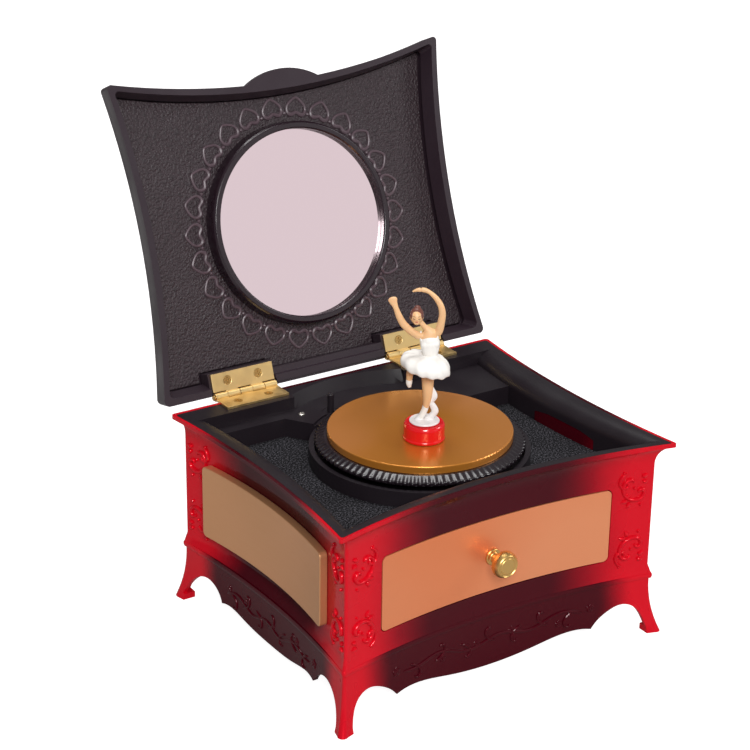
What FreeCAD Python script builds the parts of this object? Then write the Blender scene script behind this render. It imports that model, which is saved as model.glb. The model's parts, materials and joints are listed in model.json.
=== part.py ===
"""Musical jewellery box with a lift-up lid, a drawer and a magnetic ballerina on a turntable.

Millimetres, +Z up, +X to the right of someone facing the drawer, +Y to the back.
Inside this file y = 0 is the middle of the rim; save() moves every piece so that the
origin is under the middle of the open box, at the level of the feet.
"""
import FreeCAD
import Part
import math
import os

V = FreeCAD.Vector

# ---- driving dimensions ----------------------------------------------------------------
RIM_X = 80.0            # half width over the rim's corner tips
RIM_FRONT = -65.5       # y of the front corner tips
RIM_BACK = 65.5         # y of the straight back edge
RIM_Z = 85.7            # top of the rim
CORNICE_Z = 76.1        # underside of the cornice
BASE_Z = 26.4           # joint between the walls and the base
FRONT_SAG = 10.4        # how far the rim's front edge curves in at its middle
SIDE_SAG = 4.7          # the same on each side
WALL_X = 74.2           # half width of the walls at their corners
WALL_FRONT = -60.0
WALL_FRONT_SAG = 9.0
WALL_SIDE_SAG = 8.0
WALL = 2.4              # wall thickness
COVE_STEPS = 8          # bands that make up a cove
CORNER = 1.6            # cut-back of the rounded vertical corners
FOOT_CORNER = 4.2       # the same at the feet
LID_CORNER = 2.6        # and round the lid

HINGE_Y = 68.3          # hinge axis, level with the lid's underside
HINGE_Z = 86.85
LID_OPEN = 109.2        # degrees from shut to resting open
LID_X = 80.9
LID_FRONT = -66.0
LID_BACK = 67.6
LID_FRONT_SAG = 9.6
LID_SIDE_SAG = 6.0
LINER_Z = 95.2          # face of the lid's inner panel when the lid is shut
MIRROR_R = 40.0
MIRROR_Y = 3.8          # centre of the mirror when the lid is shut

TABLE_Y = 1.0           # turntable axis
DISK_R = 37.9
DISK_TOP = 86.3
PLATE_R = 43.0
PLINTH_R = 45.2
PLINTH_TOP = 78.6
FLOOR_Z = 71.5          # tray floor
LEDGE_Z = 80.0

DRIVE_Y = 35.0          # spring barrel and drive pinion axis
MODULE = 0.9067         # gear module: 60 and 15 teeth at 34 mm centres
TABLE_TEETH = 60
PINION_TEETH = 15

DRAWER_X = 55.0         # half width of the drawer face
DRAWER_BOTTOM = 35.3
DRAWER_TOP = 67.3
DRAWER_BACK = 14.0      # y of the drawer's back

POST_X = -15.3          # stop post
POST_Y = 45.0
POST_TOP = 88.3

FIGURE_X = -4.8         # magnetic foot of the dancer
FIGURE_Y = -8.8
FOOT_R = 9.0

ORIGIN_Y = 27.6         # y of the open box's middle, which becomes the row origin
RUN = 0.05              # radial clearance of running fits
GAP = 0.3               # air between bodies that pass each other


# ---- helpers ---------------------------------------------------------------------------
def save(name, shape):
    """Move a piece into the row frame and write it as parts/NAME.step."""
    moved = shape.copy()
    moved.translate(V(0, -ORIGIN_Y, 0))
    moved.exportStep("parts/%s.step" % name)


def box(x0, x1, y0, y1, z0, z1):
    return Part.makeBox(x1 - x0, y1 - y0, z1 - z0, V(x0, y0, z0))


def rod(r, z0, z1, x=0.0, y=0.0):
    return Part.makeCylinder(r, z1 - z0, V(x, y, z0))


def rod_x(r, x0, x1, y, z):
    return Part.makeCylinder(r, x1 - x0, V(x0, y, z), V(1, 0, 0))


def rod_y(r, y0, y1, x, z):
    return Part.makeCylinder(r, y1 - y0, V(x, y0, z), V(0, 1, 0))


def tube(r_in, r_out, z0, z1, x=0.0, y=0.0):
    return rod(r_out, z0, z1, x, y).cut(rod(r_in, z0 - 1, z1 + 1, x, y))


def ring_of(points, z):
    """Closed wire of straight edges through (x, y) points at height z."""
    pts = [V(x, y, z) for x, y in points]
    return Part.makePolygon(pts + [pts[0]])


def plate(points, z0, z1):
    return Part.Face(ring_of(points, z0)).extrude(V(0, 0, z1 - z0))


def turned(profile, x=0.0, y=0.0):
    """Solid turned about a vertical axis from (radius, z) points."""
    pts = [V(x + r, y, z) for r, z in profile]
    face = Part.Face(Part.makePolygon(pts + [pts[0]]))
    return face.revolve(V(x, y, 0), V(0, 0, 1), 360)


def bow(half, at, sag):
    """How far a side that bows in by sag at its middle has come in, at distance at from it."""
    return sag * (1 - (at / half) ** 2)


def outline(z, x, front, back, front_sag, side_sag, corner):
    """Closed plan outline with concave front and sides, straight back and eased corners."""
    half = (back - front) / 2
    mid = (back + front) / 2
    fx = x - corner
    fy = front + bow(x, fx, front_sag)
    sy = half - corner
    sx = x - bow(half, sy, side_sag)
    pts = {
        "front_l": V(-fx, fy, z),
        "front_m": V(0, front + front_sag, z),
        "front_r": V(fx, fy, z),
        "tip_fr": V(x - 0.35 * corner, front + 0.35 * corner, z),
        "right_f": V(sx, mid - sy, z),
        "right_m": V(x - side_sag, mid, z),
        "right_b": V(sx, mid + sy, z),
        "tip_br": V(x - 0.35 * corner, back - 0.35 * corner, z),
        "back_r": V(x - corner, back, z),
        "back_l": V(corner - x, back, z),
        "tip_bl": V(0.35 * corner - x, back - 0.35 * corner, z),
        "left_b": V(-sx, mid + sy, z),
        "left_m": V(side_sag - x, mid, z),
        "left_f": V(-sx, mid - sy, z),
        "tip_fl": V(0.35 * corner - x, front + 0.35 * corner, z),
    }
    arcs = [
        ("front_l", "front_m", "front_r"),
        ("front_r", "tip_fr", "right_f"),
        ("right_f", "right_m", "right_b"),
        ("right_b", "tip_br", "back_r"),
        ("back_r", None, "back_l"),
        ("back_l", "tip_bl", "left_b"),
        ("left_b", "left_m", "left_f"),
        ("left_f", "tip_fl", "front_l"),
    ]
    edges = []
    for a, m, b in arcs:
        if m is None:
            edges.append(Part.makeLine(pts[a], pts[b]))
        else:
            edges.append(Part.Arc(pts[a], pts[m], pts[b]).toShape())
    return Part.Wire(edges)


def inset(section, d):
    """Section drawn in by d on every side: (z, x, front, back, front_sag, side_sag, corner)."""
    z, x, front, back = section[:4]
    return (z, x - d, front + d, back - d) + tuple(section[4:])


def at_z(section, z):
    return (z,) + tuple(section[1:])


def between(a, b, t, z):
    """Section a fraction t of the way from section a to section b, at height z."""
    return (z,) + tuple(p + (q - p) * t for p, q in zip(a[1:], b[1:]))


def loft(sections, ruled=True):
    return Part.makeLoft([outline(*s) for s in sections], True, ruled)


def front_strip(half, face_in, back_in, z0, z1):
    """Curved strip that follows the front wall, between two depths behind its face."""
    pts = []
    for depth in (face_in, back_in):
        end = WALL_FRONT + bow(WALL_X, half, WALL_FRONT_SAG) + depth
        middle = WALL_FRONT + WALL_FRONT_SAG + depth
        pts.append((V(-half, end, z0), V(0, middle, z0), V(half, end, z0)))
    (a, b, c), (d, e, f) = pts
    wire = Part.Wire([
        Part.Arc(a, b, c).toShape(),
        Part.makeLine(c, f),
        Part.Arc(f, e, d).toShape(),
        Part.makeLine(d, a),
    ])
    return Part.Face(wire).extrude(V(0, 0, z1 - z0))


def round_slab_y(half, z0, z1, r, y0, y1, x=0.0):
    """Slab with rounded corners seen from the front."""
    slab = box(x - half, x + half, y0, y1, z0, z1)
    edges = [e for e in slab.Edges if abs(e.tangentAt(0).y) > 0.9]
    return slab.makeFillet(r, edges)


def fuse_all(shapes):
    return shapes[0].multiFuse(shapes[1:]).removeSplitter()


def spur_gear(teeth, z0, z1, x=0.0, y=0.0, phase=0.0, module=MODULE):
    """Spur gear with straight-flanked teeth, slightly thinned so that a pair runs free."""
    pitch = teeth * module / 2
    root, tip = pitch - 1.15 * module, pitch + 0.8 * module
    step = 2 * math.pi / teeth
    pts = []
    for i in range(teeth):
        a = i * step + phase
        for r, w in ((root, -0.33), (tip, -0.12), (tip, 0.12), (root, 0.33)):
            pts.append((x + r * math.cos(a + w * step), y + r * math.sin(a + w * step)))
    return plate(pts, z0, z1)


# ---- named sections of the box, from the feet up ---------------------------------------
WALL_SECTION = (BASE_Z, WALL_X, WALL_FRONT, RIM_BACK, WALL_FRONT_SAG, WALL_SIDE_SAG, CORNER)
RIM_SECTION = (RIM_Z, RIM_X, RIM_FRONT, RIM_BACK, FRONT_SAG, SIDE_SAG, CORNER)
BEAD_SECTION = (BASE_Z, 75.8, -61.4, 66.3, 8.8, 5.2, CORNER)
FOOT_SECTION = (0.0, 79.7, -66.2, 69.6, 13.4, 9.1, FOOT_CORNER)
LID_SECTION = (HINGE_Z, LID_X, LID_FRONT, LID_BACK, LID_FRONT_SAG, LID_SIDE_SAG, LID_CORNER)
WELL_SECTION = (FLOOR_Z, 69.6, -53.6, 71.5, 8.4, 5.9, CORNER)


# ---- case ------------------------------------------------------------------------------
def cornice_sections(inward):
    """Cove of the cornice, as sections from the wall up to the rim, drawn in by inward."""
    rows = []
    for i in range(COVE_STEPS + 1):
        a = math.radians(90 * i / COVE_STEPS)
        t = 1 - math.cos(a)
        z = CORNICE_Z + (RIM_Z - 1.6 - CORNICE_Z) * math.sin(a)
        rows.append(inset(between(WALL_SECTION, RIM_SECTION, t, z), inward))
    return rows


def case_shell():
    """Concave walls with the flared cornice, open at top and bottom, with the drawer opening."""
    foot = between(WALL_SECTION, BEAD_SECTION, 0.75, BASE_Z)
    outer = loft([foot, at_z(WALL_SECTION, BASE_Z + 4.0)] + cornice_sections(0.0) + [RIM_SECTION])
    mouth = inset(at_z(RIM_SECTION, RIM_Z - 0.4), 1.4)
    bottom = inset(at_z(WALL_SECTION, BASE_Z - 1), WALL)
    inner = loft([bottom] + cornice_sections(WALL) + [mouth, at_z(mouth, RIM_Z + 2)])
    shell = outer.cut(inner)
    opening = round_slab_y(DRAWER_X + 0.4, DRAWER_BOTTOM - 0.4, DRAWER_TOP + 0.4, 2.6, -66, -44)
    return shell.cut(opening).removeSplitter()


# Half of each skirt's lower edge, from its middle out: (distance from the middle, height). The
# fifth point is the pointed tip between the long scallop and the leg's arch.
FRONT_SCALLOP = [
    (8.0, 2.7), (20.0, 4.1), (31.0, 6.1), (41.0, 6.9), (47.8, 5.9),
    (51.2, 9.4), (56.0, 12.4), (62.4, 14.1), (67.6, 12.0), (71.4, 5.4), (72.6, 0.0),
]
SIDE_SCALLOP = [
    (7.0, 5.6), (15.0, 6.3), (23.0, 7.8), (30.0, 8.9), (36.2, 8.0),
    (40.5, 13.0), (47.0, 15.0), (55.0, 11.8), (60.2, 4.6), (61.6, 0.0),
]
TIP = 4                 # index of the pointed tip
SIDE_MIDDLE = 2.4       # y of the middle of the side skirts
FOOT_BLOCK = 7.5        # the feet's solid toes
FOOT_HEIGHT = 2.6


def skirt_cutter(points, low=-1.0):
    """Area under a skirt's scalloped lower edge, as three smooth curves that meet at the tips."""
    line = [(-d, z) for d, z in reversed(points)] + points
    tips = [len(points) - 1 - TIP, len(points) + TIP]
    edges = []
    for a, b in zip([0] + tips, tips + [len(line) - 1]):
        curve = Part.BSplineCurve()
        curve.interpolate([V(d, 0, z) for d, z in line[a:b + 1]])
        edges.append(curve.toShape())
    end = V(line[-1][0], 0, line[-1][1])
    start = V(line[0][0], 0, line[0][1])
    corner_r = V(end.x, 0, low)
    corner_l = V(start.x, 0, low)
    edges.append(Part.makeLine(end, corner_r))
    edges.append(Part.makeLine(corner_r, corner_l))
    edges.append(Part.makeLine(corner_l, start))
    return Part.Face(Part.Wire(edges))


def base_frame():
    """Bead moulding, scalloped skirt and four legs that flare out to the feet, in one casting."""
    skirt_z = BASE_Z - 2.2
    skirt_top = inset(at_z(BEAD_SECTION, skirt_z), 0.9)
    rows = []
    for i in range(COVE_STEPS + 1):
        share = i / COVE_STEPS
        rows.append(between(skirt_top, FOOT_SECTION, share ** 2.2, skirt_z * (1 - share)))
    bead = [
        inset(at_z(BEAD_SECTION, skirt_z), 0.2),
        at_z(BEAD_SECTION, BASE_Z - 1.5),
        at_z(BEAD_SECTION, BASE_Z - 0.7),
        inset(at_z(BEAD_SECTION, BASE_Z), 0.3),
    ]
    outer = loft(rows[::-1] + bead)
    inside = [at_z(rows[-1], -1.0)] + rows[::-1] + [at_z(skirt_top, BASE_Z + 1)]
    frame = outer.cut(loft([inset(r, WALL) for r in inside]))
    front_face = skirt_cutter(FRONT_SCALLOP)
    side_face = skirt_cutter(SIDE_SCALLOP)
    side_face.rotate(V(0, 0, 0), V(0, 0, 1), 90)
    depth = 50.0
    for start in (-45.0 - depth, 50.0):
        frame = frame.cut(front_face.extrude(V(0, depth, 0)).translated(V(0, start, 0)))
    for start in (-62.0 - depth, 62.0):
        frame = frame.cut(side_face.extrude(V(depth, 0, 0)).translated(V(start, SIDE_MIDDLE, 0)))
    x_half, front, back = FOOT_SECTION[1:4]
    feet = []
    for x0 in (-x_half, x_half - FOOT_BLOCK):
        for y0 in (front, back - FOOT_BLOCK):
            feet.append(box(x0, x0 + FOOT_BLOCK, y0, y0 + FOOT_BLOCK, 0.0, FOOT_HEIGHT))
    foot_blocks = Part.makeCompound(feet).common(loft([rows[-1], rows[-2]]))
    return frame.fuse(foot_blocks).removeSplitter()


def bottom_plate():
    """Sheet that closes the box underneath, with the key's hole and the screws' holes."""
    section = inset(at_z(BEAD_SECTION, BASE_Z - 2.0), 3.6)
    sheet = loft([section, at_z(section, BASE_Z - 0.1)])
    holes = [rod(4.0, 20, 30, 0, DRIVE_Y)]
    holes += [rod(1.3, 20, 30, x, y) for x, y in BOTTOM_SCREWS]
    holes += [rod(1.3, 20, 30, x, y) for x, y in MOVEMENT_SCREWS]
    return sheet.cut(fuse_all(holes))


BOTTOM_SCREWS = [(-62.0, -44.0), (62.0, -44.0), (-62.0, 56.0), (62.0, 56.0)]
MOVEMENT_SCREWS = [(-46.0, 24.0), (-46.0, 58.0), (14.0, 24.0), (14.0, 58.0)]


def screw(x, y, z_head, z_tip, r=1.2, head=2.4):
    """Slotted pan-head screw pointing up, its head below."""
    low = z_head - 1.4
    pan = turned([(0, low), (head * 0.6, low), (head, low + 0.9), (head, z_head), (0, z_head)], x, y)
    body = rod(r, z_head, z_tip, x, y).fuse(pan)
    return body.cut(box(x - head, x + head, y - 0.3, y + 0.3, low - 0.6, low + 0.6))


def bottom_screws():
    return Part.makeCompound([screw(x, y, BASE_Z - 2.05, BASE_Z + 6) for x, y in BOTTOM_SCREWS])


def screw_bosses():
    """Plastic bosses above the bottom plate that take the bottom screws."""
    return Part.makeCompound([tube(1.25, 3.0, BASE_Z, BASE_Z + 7.6, x, y) for x, y in BOTTOM_SCREWS])


# Plan outlines of the raised ledges behind the turntable and of the hollow under them.
LEFT_LEDGE = [(-90, 48.2), (-35.5, 48.2), (-27.4, 36.0), (0, 36.0), (0, 90), (-90, 90)]
RIGHT_LEDGE = [(0, 27.5), (90, 27.5), (90, 90), (0, 90)]
LEDGE_POCKET = [
    (-60, 50.0), (-34, 50.0), (-26, 38.5), (0, 47.5), (28, 38.5),
    (33, 29.5), (60, 29.5), (60, 61), (-60, 61),
]


def tray():
    """Black insert: coved sides, floor, raised ledges, hinge strip and the round plinth."""
    wall_top = inset(at_z(WALL_SECTION, CORNICE_Z), WALL + 0.15)
    mouth = inset(at_z(RIM_SECTION, RIM_Z - 0.4), 1.55)
    cove = cornice_sections(WALL + 0.15)
    body = loft([at_z(wall_top, FLOOR_Z - 1.8)] + cove + [mouth, at_z(mouth, RIM_Z - 0.05)])
    well = WELL_SECTION
    lip = inset(at_z(RIM_SECTION, RIM_Z + 0.01), 3.0)
    lip = lip[:3] + (well[3],) + lip[4:]
    rows = [well]
    for i in range(COVE_STEPS + 1):
        a = math.radians(90 * i / COVE_STEPS)
        rows.append(between(well, lip, 1 - math.cos(a), 79.5 + (RIM_Z - 79.5) * math.sin(a)))
    hollow = loft(rows + [at_z(lip, RIM_Z + 4)])
    strip = box(-90, 90, 54.2, 80, 60, 95)
    recess = turned([(0, LEDGE_Z), (59.4, LEDGE_Z), (62.0, RIM_Z + 0.1), (62.0, 95), (0, 95)], 0, TABLE_Y)
    recess = recess.common(box(-27.5, 27.5, 20, 63.2, 70, 99))
    ledge_left = plate(LEFT_LEDGE, 60, LEDGE_Z)
    ledge_right = plate(RIGHT_LEDGE, 60, LEDGE_Z)
    solid_back = strip.fuse(ledge_left).fuse(ledge_right)
    body = body.cut(hollow.cut(solid_back)).cut(recess)
    pocket = plate(LEDGE_POCKET, FLOOR_Z - 3, LEDGE_Z - 1.6)
    pocket = pocket.cut(rod(PLINTH_R + 1.2, 60, 90, 0, TABLE_Y)).cut(rod(5.0, 60, 90, POST_X, POST_Y))
    body = body.cut(pocket)
    body = body.cut(rod(PLINTH_R - 2.0, FLOOR_Z, 100, 0, TABLE_Y))
    body = body.fuse(tube(PLINTH_R - 2.2, PLINTH_R, FLOOR_Z - 1, PLINTH_TOP, 0, TABLE_Y))
    body = body.cut(tube(PLINTH_R, PLINTH_R + 1.0, PLINTH_TOP + 0.6, LEDGE_Z + 5, 0, TABLE_Y))
    holes = [
        rod(4.0, 60, 80, 0, TABLE_Y),
        rod(4.0, 60, 75, 0, DRIVE_Y),
        rod(3.6, 60, 90, POST_X, POST_Y),
    ]
    holes += case_screw_shapes(THREAD_ROOM)
    return body.cut(fuse_all(holes)).removeSplitter()


def floor_flocking():
    """Thin flocked sheet glued to the tray floor around the plinth and in front of the ledges."""
    sheet = inset(WELL_SECTION, GAP)
    cloth = loft([sheet, at_z(sheet, FLOOR_Z + 0.5)])
    cloth = cloth.cut(rod(PLINTH_R + 0.1, 60, 90, 0, TABLE_Y))
    for ledge in (LEFT_LEDGE, RIGHT_LEDGE):
        cloth = cloth.cut(plate(ledge, 60, 90).translated(V(0, -GAP, 0)))
    return cloth


def side_panel(side):
    """Gold panel that stands proud of a side wall and follows its curve; side is -1 or 1."""
    mid = (WALL_FRONT + RIM_BACK) / 2
    half_wall = (RIM_BACK - WALL_FRONT) / 2
    y0, y1 = -41.0, 50.0
    rows = []
    for out in (0.02, 3.6):
        ends = [WALL_X - bow(half_wall, y - mid, WALL_SIDE_SAG) + out for y in (y0, y1)]
        middle = V(side * (WALL_X - WALL_SIDE_SAG + out), mid, 0)
        rows.append([V(side * ends[0], y0, 0), middle, V(side * ends[1], y1, 0)])
    (a, b, c), (d, e, f) = rows
    wire = Part.Wire([
        Part.Arc(a, b, c).toShape(),
        Part.makeLine(c, f),
        Part.Arc(f, e, d).toShape(),
        Part.makeLine(d, a),
    ])
    strip = Part.Face(wire).extrude(V(0, 0, DRAWER_TOP - DRAWER_BOTTOM))
    strip.translate(V(0, 0, DRAWER_BOTTOM))
    slab = box(-100, 100, y0, y1, DRAWER_BOTTOM, DRAWER_TOP)
    edges = [e for e in slab.Edges if abs(e.Length - 200) < 1e-6]
    return strip.common(slab.makeFillet(2.2, edges))


# ---- drawer ----------------------------------------------------------------------------
def drawer_face():
    strip = front_strip(DRAWER_X, 0.0, 2.2, DRAWER_BOTTOM, DRAWER_TOP)
    face = strip.common(round_slab_y(DRAWER_X, DRAWER_BOTTOM, DRAWER_TOP, 2.2, -66, -40))
    return face.cut(rod_y(1.0, -60, -40, 0, KNOB_Z))


KNOB_Z = 50.6
DRAWER_IN = 52.2        # half width of the drawer box
DRAWER_LOW = 36.4
DRAWER_HIGH = 61.0


def drawer_box():
    """Open drawer tray behind the face, its front wall curved like the face."""
    front = front_strip(DRAWER_IN, 2.25, 90.0, DRAWER_LOW, DRAWER_HIGH)
    outer = front.common(box(-90, 90, -70, DRAWER_BACK, 0, 99))
    hollow = front_strip(DRAWER_IN - 1.8, 4.3, 90.0, DRAWER_LOW + 1.8, DRAWER_HIGH + 9)
    hollow = hollow.common(box(-90, 90, -70, DRAWER_BACK - 1.8, 0, 99))
    return outer.cut(hollow).cut(rod_y(1.0, -60, -40, 0, KNOB_Z))


def drawer_lining():
    """Felt on the drawer's floor."""
    felt = front_strip(DRAWER_IN - 2.0, 4.5, 90.0, DRAWER_LOW + 1.85, DRAWER_LOW + 2.5)
    return felt.common(box(-90, 90, -70, DRAWER_BACK - 2.0, 0, 99))


def knob():
    """Turned knob: flange, waist and flattened ball, on a horizontal axis."""
    face_y = WALL_FRONT + WALL_FRONT_SAG
    profile = [
        (0, 0.05), (3.4, 0.05), (3.4, 0.9), (2.0, 1.6), (1.7, 4.4), (3.2, 5.6), (5.0, 6.8),
        (5.6, 8.3), (5.5, 9.8), (4.6, 11.2), (3.0, 12.0), (0, 12.2),
    ]
    pts = [V(r, 0, z) for r, z in profile]
    shape = Part.Face(Part.makePolygon(pts + [pts[0]])).revolve(V(0, 0, 0), V(0, 0, 1), 360)
    shape = shape.cut(rod(0.9, -1, 6))
    shape.rotate(V(0, 0, 0), V(1, 0, 0), 90)
    return shape.translated(V(0, face_y, KNOB_Z))


def knob_screw():
    """Screw through the drawer front into the knob."""
    face_y = WALL_FRONT + WALL_FRONT_SAG
    head = rod_y(2.0, face_y + 4.32, face_y + 5.4, 0, KNOB_Z)
    return head.fuse(rod_y(0.88, face_y - 5.0, face_y + 4.4, 0, KNOB_Z))


def drawer_shelf():
    """Thin floor that the drawer slides on, between the side walls."""
    return box(-63.6, 63.6, -46.0, 16.9, 34.2, 36.1)


def drawer_guide(side):
    """Rail beside the drawer that keeps it straight."""
    inner, outer = DRAWER_IN + GAP, DRAWER_IN + 3.0
    return box(min(side * inner, side * outer), max(side * inner, side * outer), -45.0, 16.9, 36.15, 46.0)


def movement_divider():
    """Upright wall between the drawer and the movement."""
    return box(-63.0, 63.0, 17.0, 18.4, BASE_Z, FLOOR_Z - 2.0)


# ---- lid, drawn shut and swung open at the end -------------------------------------------
def swing_open(shape):
    opened = shape.copy()
    opened.rotate(V(0, HINGE_Y, HINGE_Z), V(1, 0, 0), -LID_OPEN)
    return opened


HINGE_SPANS = ((-57.6, -28.2), (28.2, 57.6))


def lid_shell():
    """Shallow domed lid with a turned-in rim, a finger lip and notches for the knuckles.

    A straight flange runs between the hinges, and each lid leaf sits on a pad.
    """
    dome = [LID_SECTION, inset(at_z(LID_SECTION, 95.0), 0.6)]
    for z, d, keep in ((97.2, 2.2, 0.95), (99.4, 8.0, 0.8), (101.2, 20.0, 0.55), (102.2, 38.0, 0.25)):
        row = inset(at_z(LID_SECTION, z), d)
        dome.append(row[:4] + (row[4] * keep, row[5] * keep, row[6]))
    outer = loft(dome)
    mouth = [inset(at_z(LID_SECTION, HINGE_Z - 1), 2.6), inset(at_z(LID_SECTION, 93.5), 5.2)]
    pocket = [inset(at_z(LID_SECTION, 93.5), 3.4), inset(at_z(LID_SECTION, 97.2), 4.4)]
    inner = loft(mouth).fuse(loft(pocket))
    shell = outer.cut(inner)
    reach = 18.0
    edge = LID_FRONT + bow(LID_X, reach, LID_FRONT_SAG)
    deep = LID_FRONT + LID_FRONT_SAG + 1.4
    left = V(-reach, edge + 0.2, HINGE_Z)
    right = V(reach, edge + 0.2, HINGE_Z)
    lip_wire = Part.Wire([
        Part.Arc(left, V(0, edge - 5.1, HINGE_Z), right).toShape(),
        Part.makeLine(right, V(reach, deep, HINGE_Z)),
        Part.makeLine(V(reach, deep, HINGE_Z), V(-reach, deep, HINGE_Z)),
        Part.makeLine(V(-reach, deep, HINGE_Z), left),
    ])
    shell = shell.fuse(Part.Face(lip_wire).extrude(V(0, 0, 2.4)))
    inner_end = HINGE_SPANS[1][0]
    shell = shell.fuse(box(-inner_end, inner_end, LID_BACK - 6.0, HINGE_Y + 0.5, HINGE_Z + 1.3, 95.0))
    for x0, x1 in HINGE_SPANS:
        pad = box(x0 - 0.9, x1 + 0.9, 58.2, LID_BACK - 1.0, HINGE_Z + 1.3, 95.0)
        shell = shell.fuse(pad)
        shell = shell.cut(box(x0 - 0.6, x1 + 0.6, 57.9, 80, HINGE_Z - 1, HINGE_Z + 1.3))
        shell = shell.cut(box(x0 - 1.0, x1 + 1.0, HINGE_Y - 2.1, 80, HINGE_Z - 1, HINGE_Z + 2.1))
    shell = shell.cut(Part.makeCompound(lid_screw_shapes(THREAD_ROOM)))
    return swing_open(shell.removeSplitter())


def lid_liner():
    """Grained panel set into the lid."""
    rows = [inset(at_z(LID_SECTION, LINER_Z), 5.6), inset(at_z(LID_SECTION, LINER_Z + 1.6), 5.0)]
    panel = loft(rows)
    for x0, x1 in HINGE_SPANS:
        panel = panel.cut(box(x0 - 1.2, x1 + 1.2, 57.9, 80, 80, 99))
    return swing_open(panel)


def mirror_bezel():
    face = HINGE_Z + 1.6
    low = LINER_Z - 0.02
    seat = face + 3.0
    profile = [
        (MIRROR_R, face + 0.5), (MIRROR_R + 0.6, face), (MIRROR_R + 2.4, face),
        (MIRROR_R + 3.2, face + 0.9), (MIRROR_R + 3.6, low), (MIRROR_R + 1.6, low),
        (MIRROR_R + 1.6, seat), (MIRROR_R, seat),
    ]
    return swing_open(turned(profile, 0, MIRROR_Y))


def mirror():
    z = HINGE_Z + 4.62
    return swing_open(rod(MIRROR_R + 1.5, z, z + 1.6, 0, MIRROR_Y))


def mirror_backing():
    """Foam pad that presses the mirror against the bezel."""
    z = HINGE_Z + 6.24
    return swing_open(rod(MIRROR_R + 1.4, z, LINER_Z - 0.02, 0, MIRROR_Y))


# ---- hinges ------------------------------------------------------------------------------
KNUCKLE_R = 1.7
PIN_R = 0.8


def knuckles(x0, x1, wanted):
    """The first (wanted 0) or second (wanted 1) set of five alternating knuckles."""
    step = (x1 - x0) / 5
    rods = []
    for i in range(5):
        if i % 2 == wanted:
            start = x0 + i * step
            rods.append(rod_x(KNUCKLE_R, start + 0.1, start + step - 0.1, HINGE_Y, HINGE_Z))
    return rods


def clear_knuckles(leaf, x0, x1, wanted):
    """Cut the leaf back where the other leaf's knuckles turn."""
    for other in knuckles(x0, x1, 1 - wanted):
        b = other.BoundBox
        edge = HINGE_Y - KNUCKLE_R - 0.35
        leaf = leaf.cut(box(b.XMin - 0.2, b.XMax + 0.2, edge, 99, 80, 99))
    return leaf


def case_leaf(x0, x1):
    leaf = box(x0, x1, 57.2, HINGE_Y - 0.4, RIM_Z + 0.02, RIM_Z + 1.0)
    leaf = clear_knuckles(leaf, x0, x1, 0)
    leaf = fuse_all([leaf] + knuckles(x0, x1, 0))
    leaf = leaf.cut(rod_x(PIN_R, x0 - 1, x1 + 1, HINGE_Y, HINGE_Z))
    return leaf.cut(Part.makeCompound(case_screw_shapes(LEAF_ROOM))).removeSplitter()


def lid_leaf(x0, x1):
    leaf = box(x0, x1, 58.6, HINGE_Y - 0.4, HINGE_Z + 0.18, HINGE_Z + 1.18)
    leaf = clear_knuckles(leaf, x0, x1, 1)
    leaf = fuse_all([leaf] + knuckles(x0, x1, 1))
    leaf = leaf.cut(rod_x(PIN_R + RUN, x0 - 1, x1 + 1, HINGE_Y, HINGE_Z))
    leaf = leaf.cut(Part.makeCompound(lid_screw_shapes(LEAF_ROOM)))
    return swing_open(leaf.removeSplitter())


def hinge_pin(x0, x1):
    pin = rod_x(PIN_R, x0 - 0.2, x1 + 0.2, HINGE_Y, HINGE_Z)
    return pin.fuse(rod_x(PIN_R + 0.4, x0 - 0.7, x0 - 0.1, HINGE_Y, HINGE_Z))


THREAD_ROOM = 0.02      # the screws' holes in plastic, larger all round
LEAF_ROOM = 0.10        # and in the brass leaves


def small_screw(x, y, z_face, down, grow=0.0):
    """Countersunk screw; down is -1 or 1, the way it points. Grown and uncrossed, it is its hole."""
    profile = [(0, 0), (1.9, 0), (1.12, 0.8), (0.8, 1.4), (0.8, 5.0), (0, 6.0)]
    if grow > 0:
        wide = [(r + grow, z) for r, z in profile[1:5]]
        head = turned([(0, -1.0), (wide[0][0], -1.0)] + wide + [(0, 6.0 + 2 * grow)])
    else:
        cross = box(-1.2, 1.2, -0.22, 0.22, -1, 0.35).fuse(box(-0.22, 0.22, -1.2, 1.2, -1, 0.35))
        head = turned(profile).cut(cross)
    if down < 0:
        head.rotate(V(0, 0, 0), V(1, 0, 0), 180)
    return head.translated(V(x, y, z_face))


def screw_places(y):
    places = []
    for x0, x1 in HINGE_SPANS:
        quarter = (x1 - x0) / 4
        places += [(x0 + quarter, y), (x1 - quarter, y)]
    return places


def case_screw_shapes(grow=0.0):
    return [small_screw(x, y, RIM_Z + 1.02, -1, grow) for x, y in screw_places(61.6)]


def lid_screw_shapes(grow=0.0):
    return [small_screw(x, y, HINGE_Z + 0.16, 1, grow) for x, y in screw_places(62.2)]


def hinge_case_screws():
    return Part.makeCompound(case_screw_shapes())


def hinge_lid_screws():
    return swing_open(Part.makeCompound(lid_screw_shapes()))


# ---- turntable ---------------------------------------------------------------------------
def turntable_disk():
    disk = rod(DISK_R, DISK_TOP - 3.0, DISK_TOP, 0, TABLE_Y)
    top = [e for e in disk.Edges if abs(e.BoundBox.ZMin - DISK_TOP) < 1e-6 and e.Length > 10]
    return disk.makeFillet(0.5, top)


def turntable_plate():
    """Black plate under the disk with a sloping ribbed edge."""
    low = PLINTH_TOP + 0.9
    shoulder = DISK_TOP - 2.6
    seat = DISK_TOP - 3.05
    profile = [
        (3.0, low), (PLATE_R - 1.0, low), (PLATE_R, low + 0.9), (PLATE_R - 0.1, low + 1.8),
        (DISK_R + 0.8, shoulder), (DISK_R + 0.2, shoulder), (DISK_R + 0.2, seat), (3.0, seat),
    ]
    return turned(profile, 0, TABLE_Y)


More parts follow.
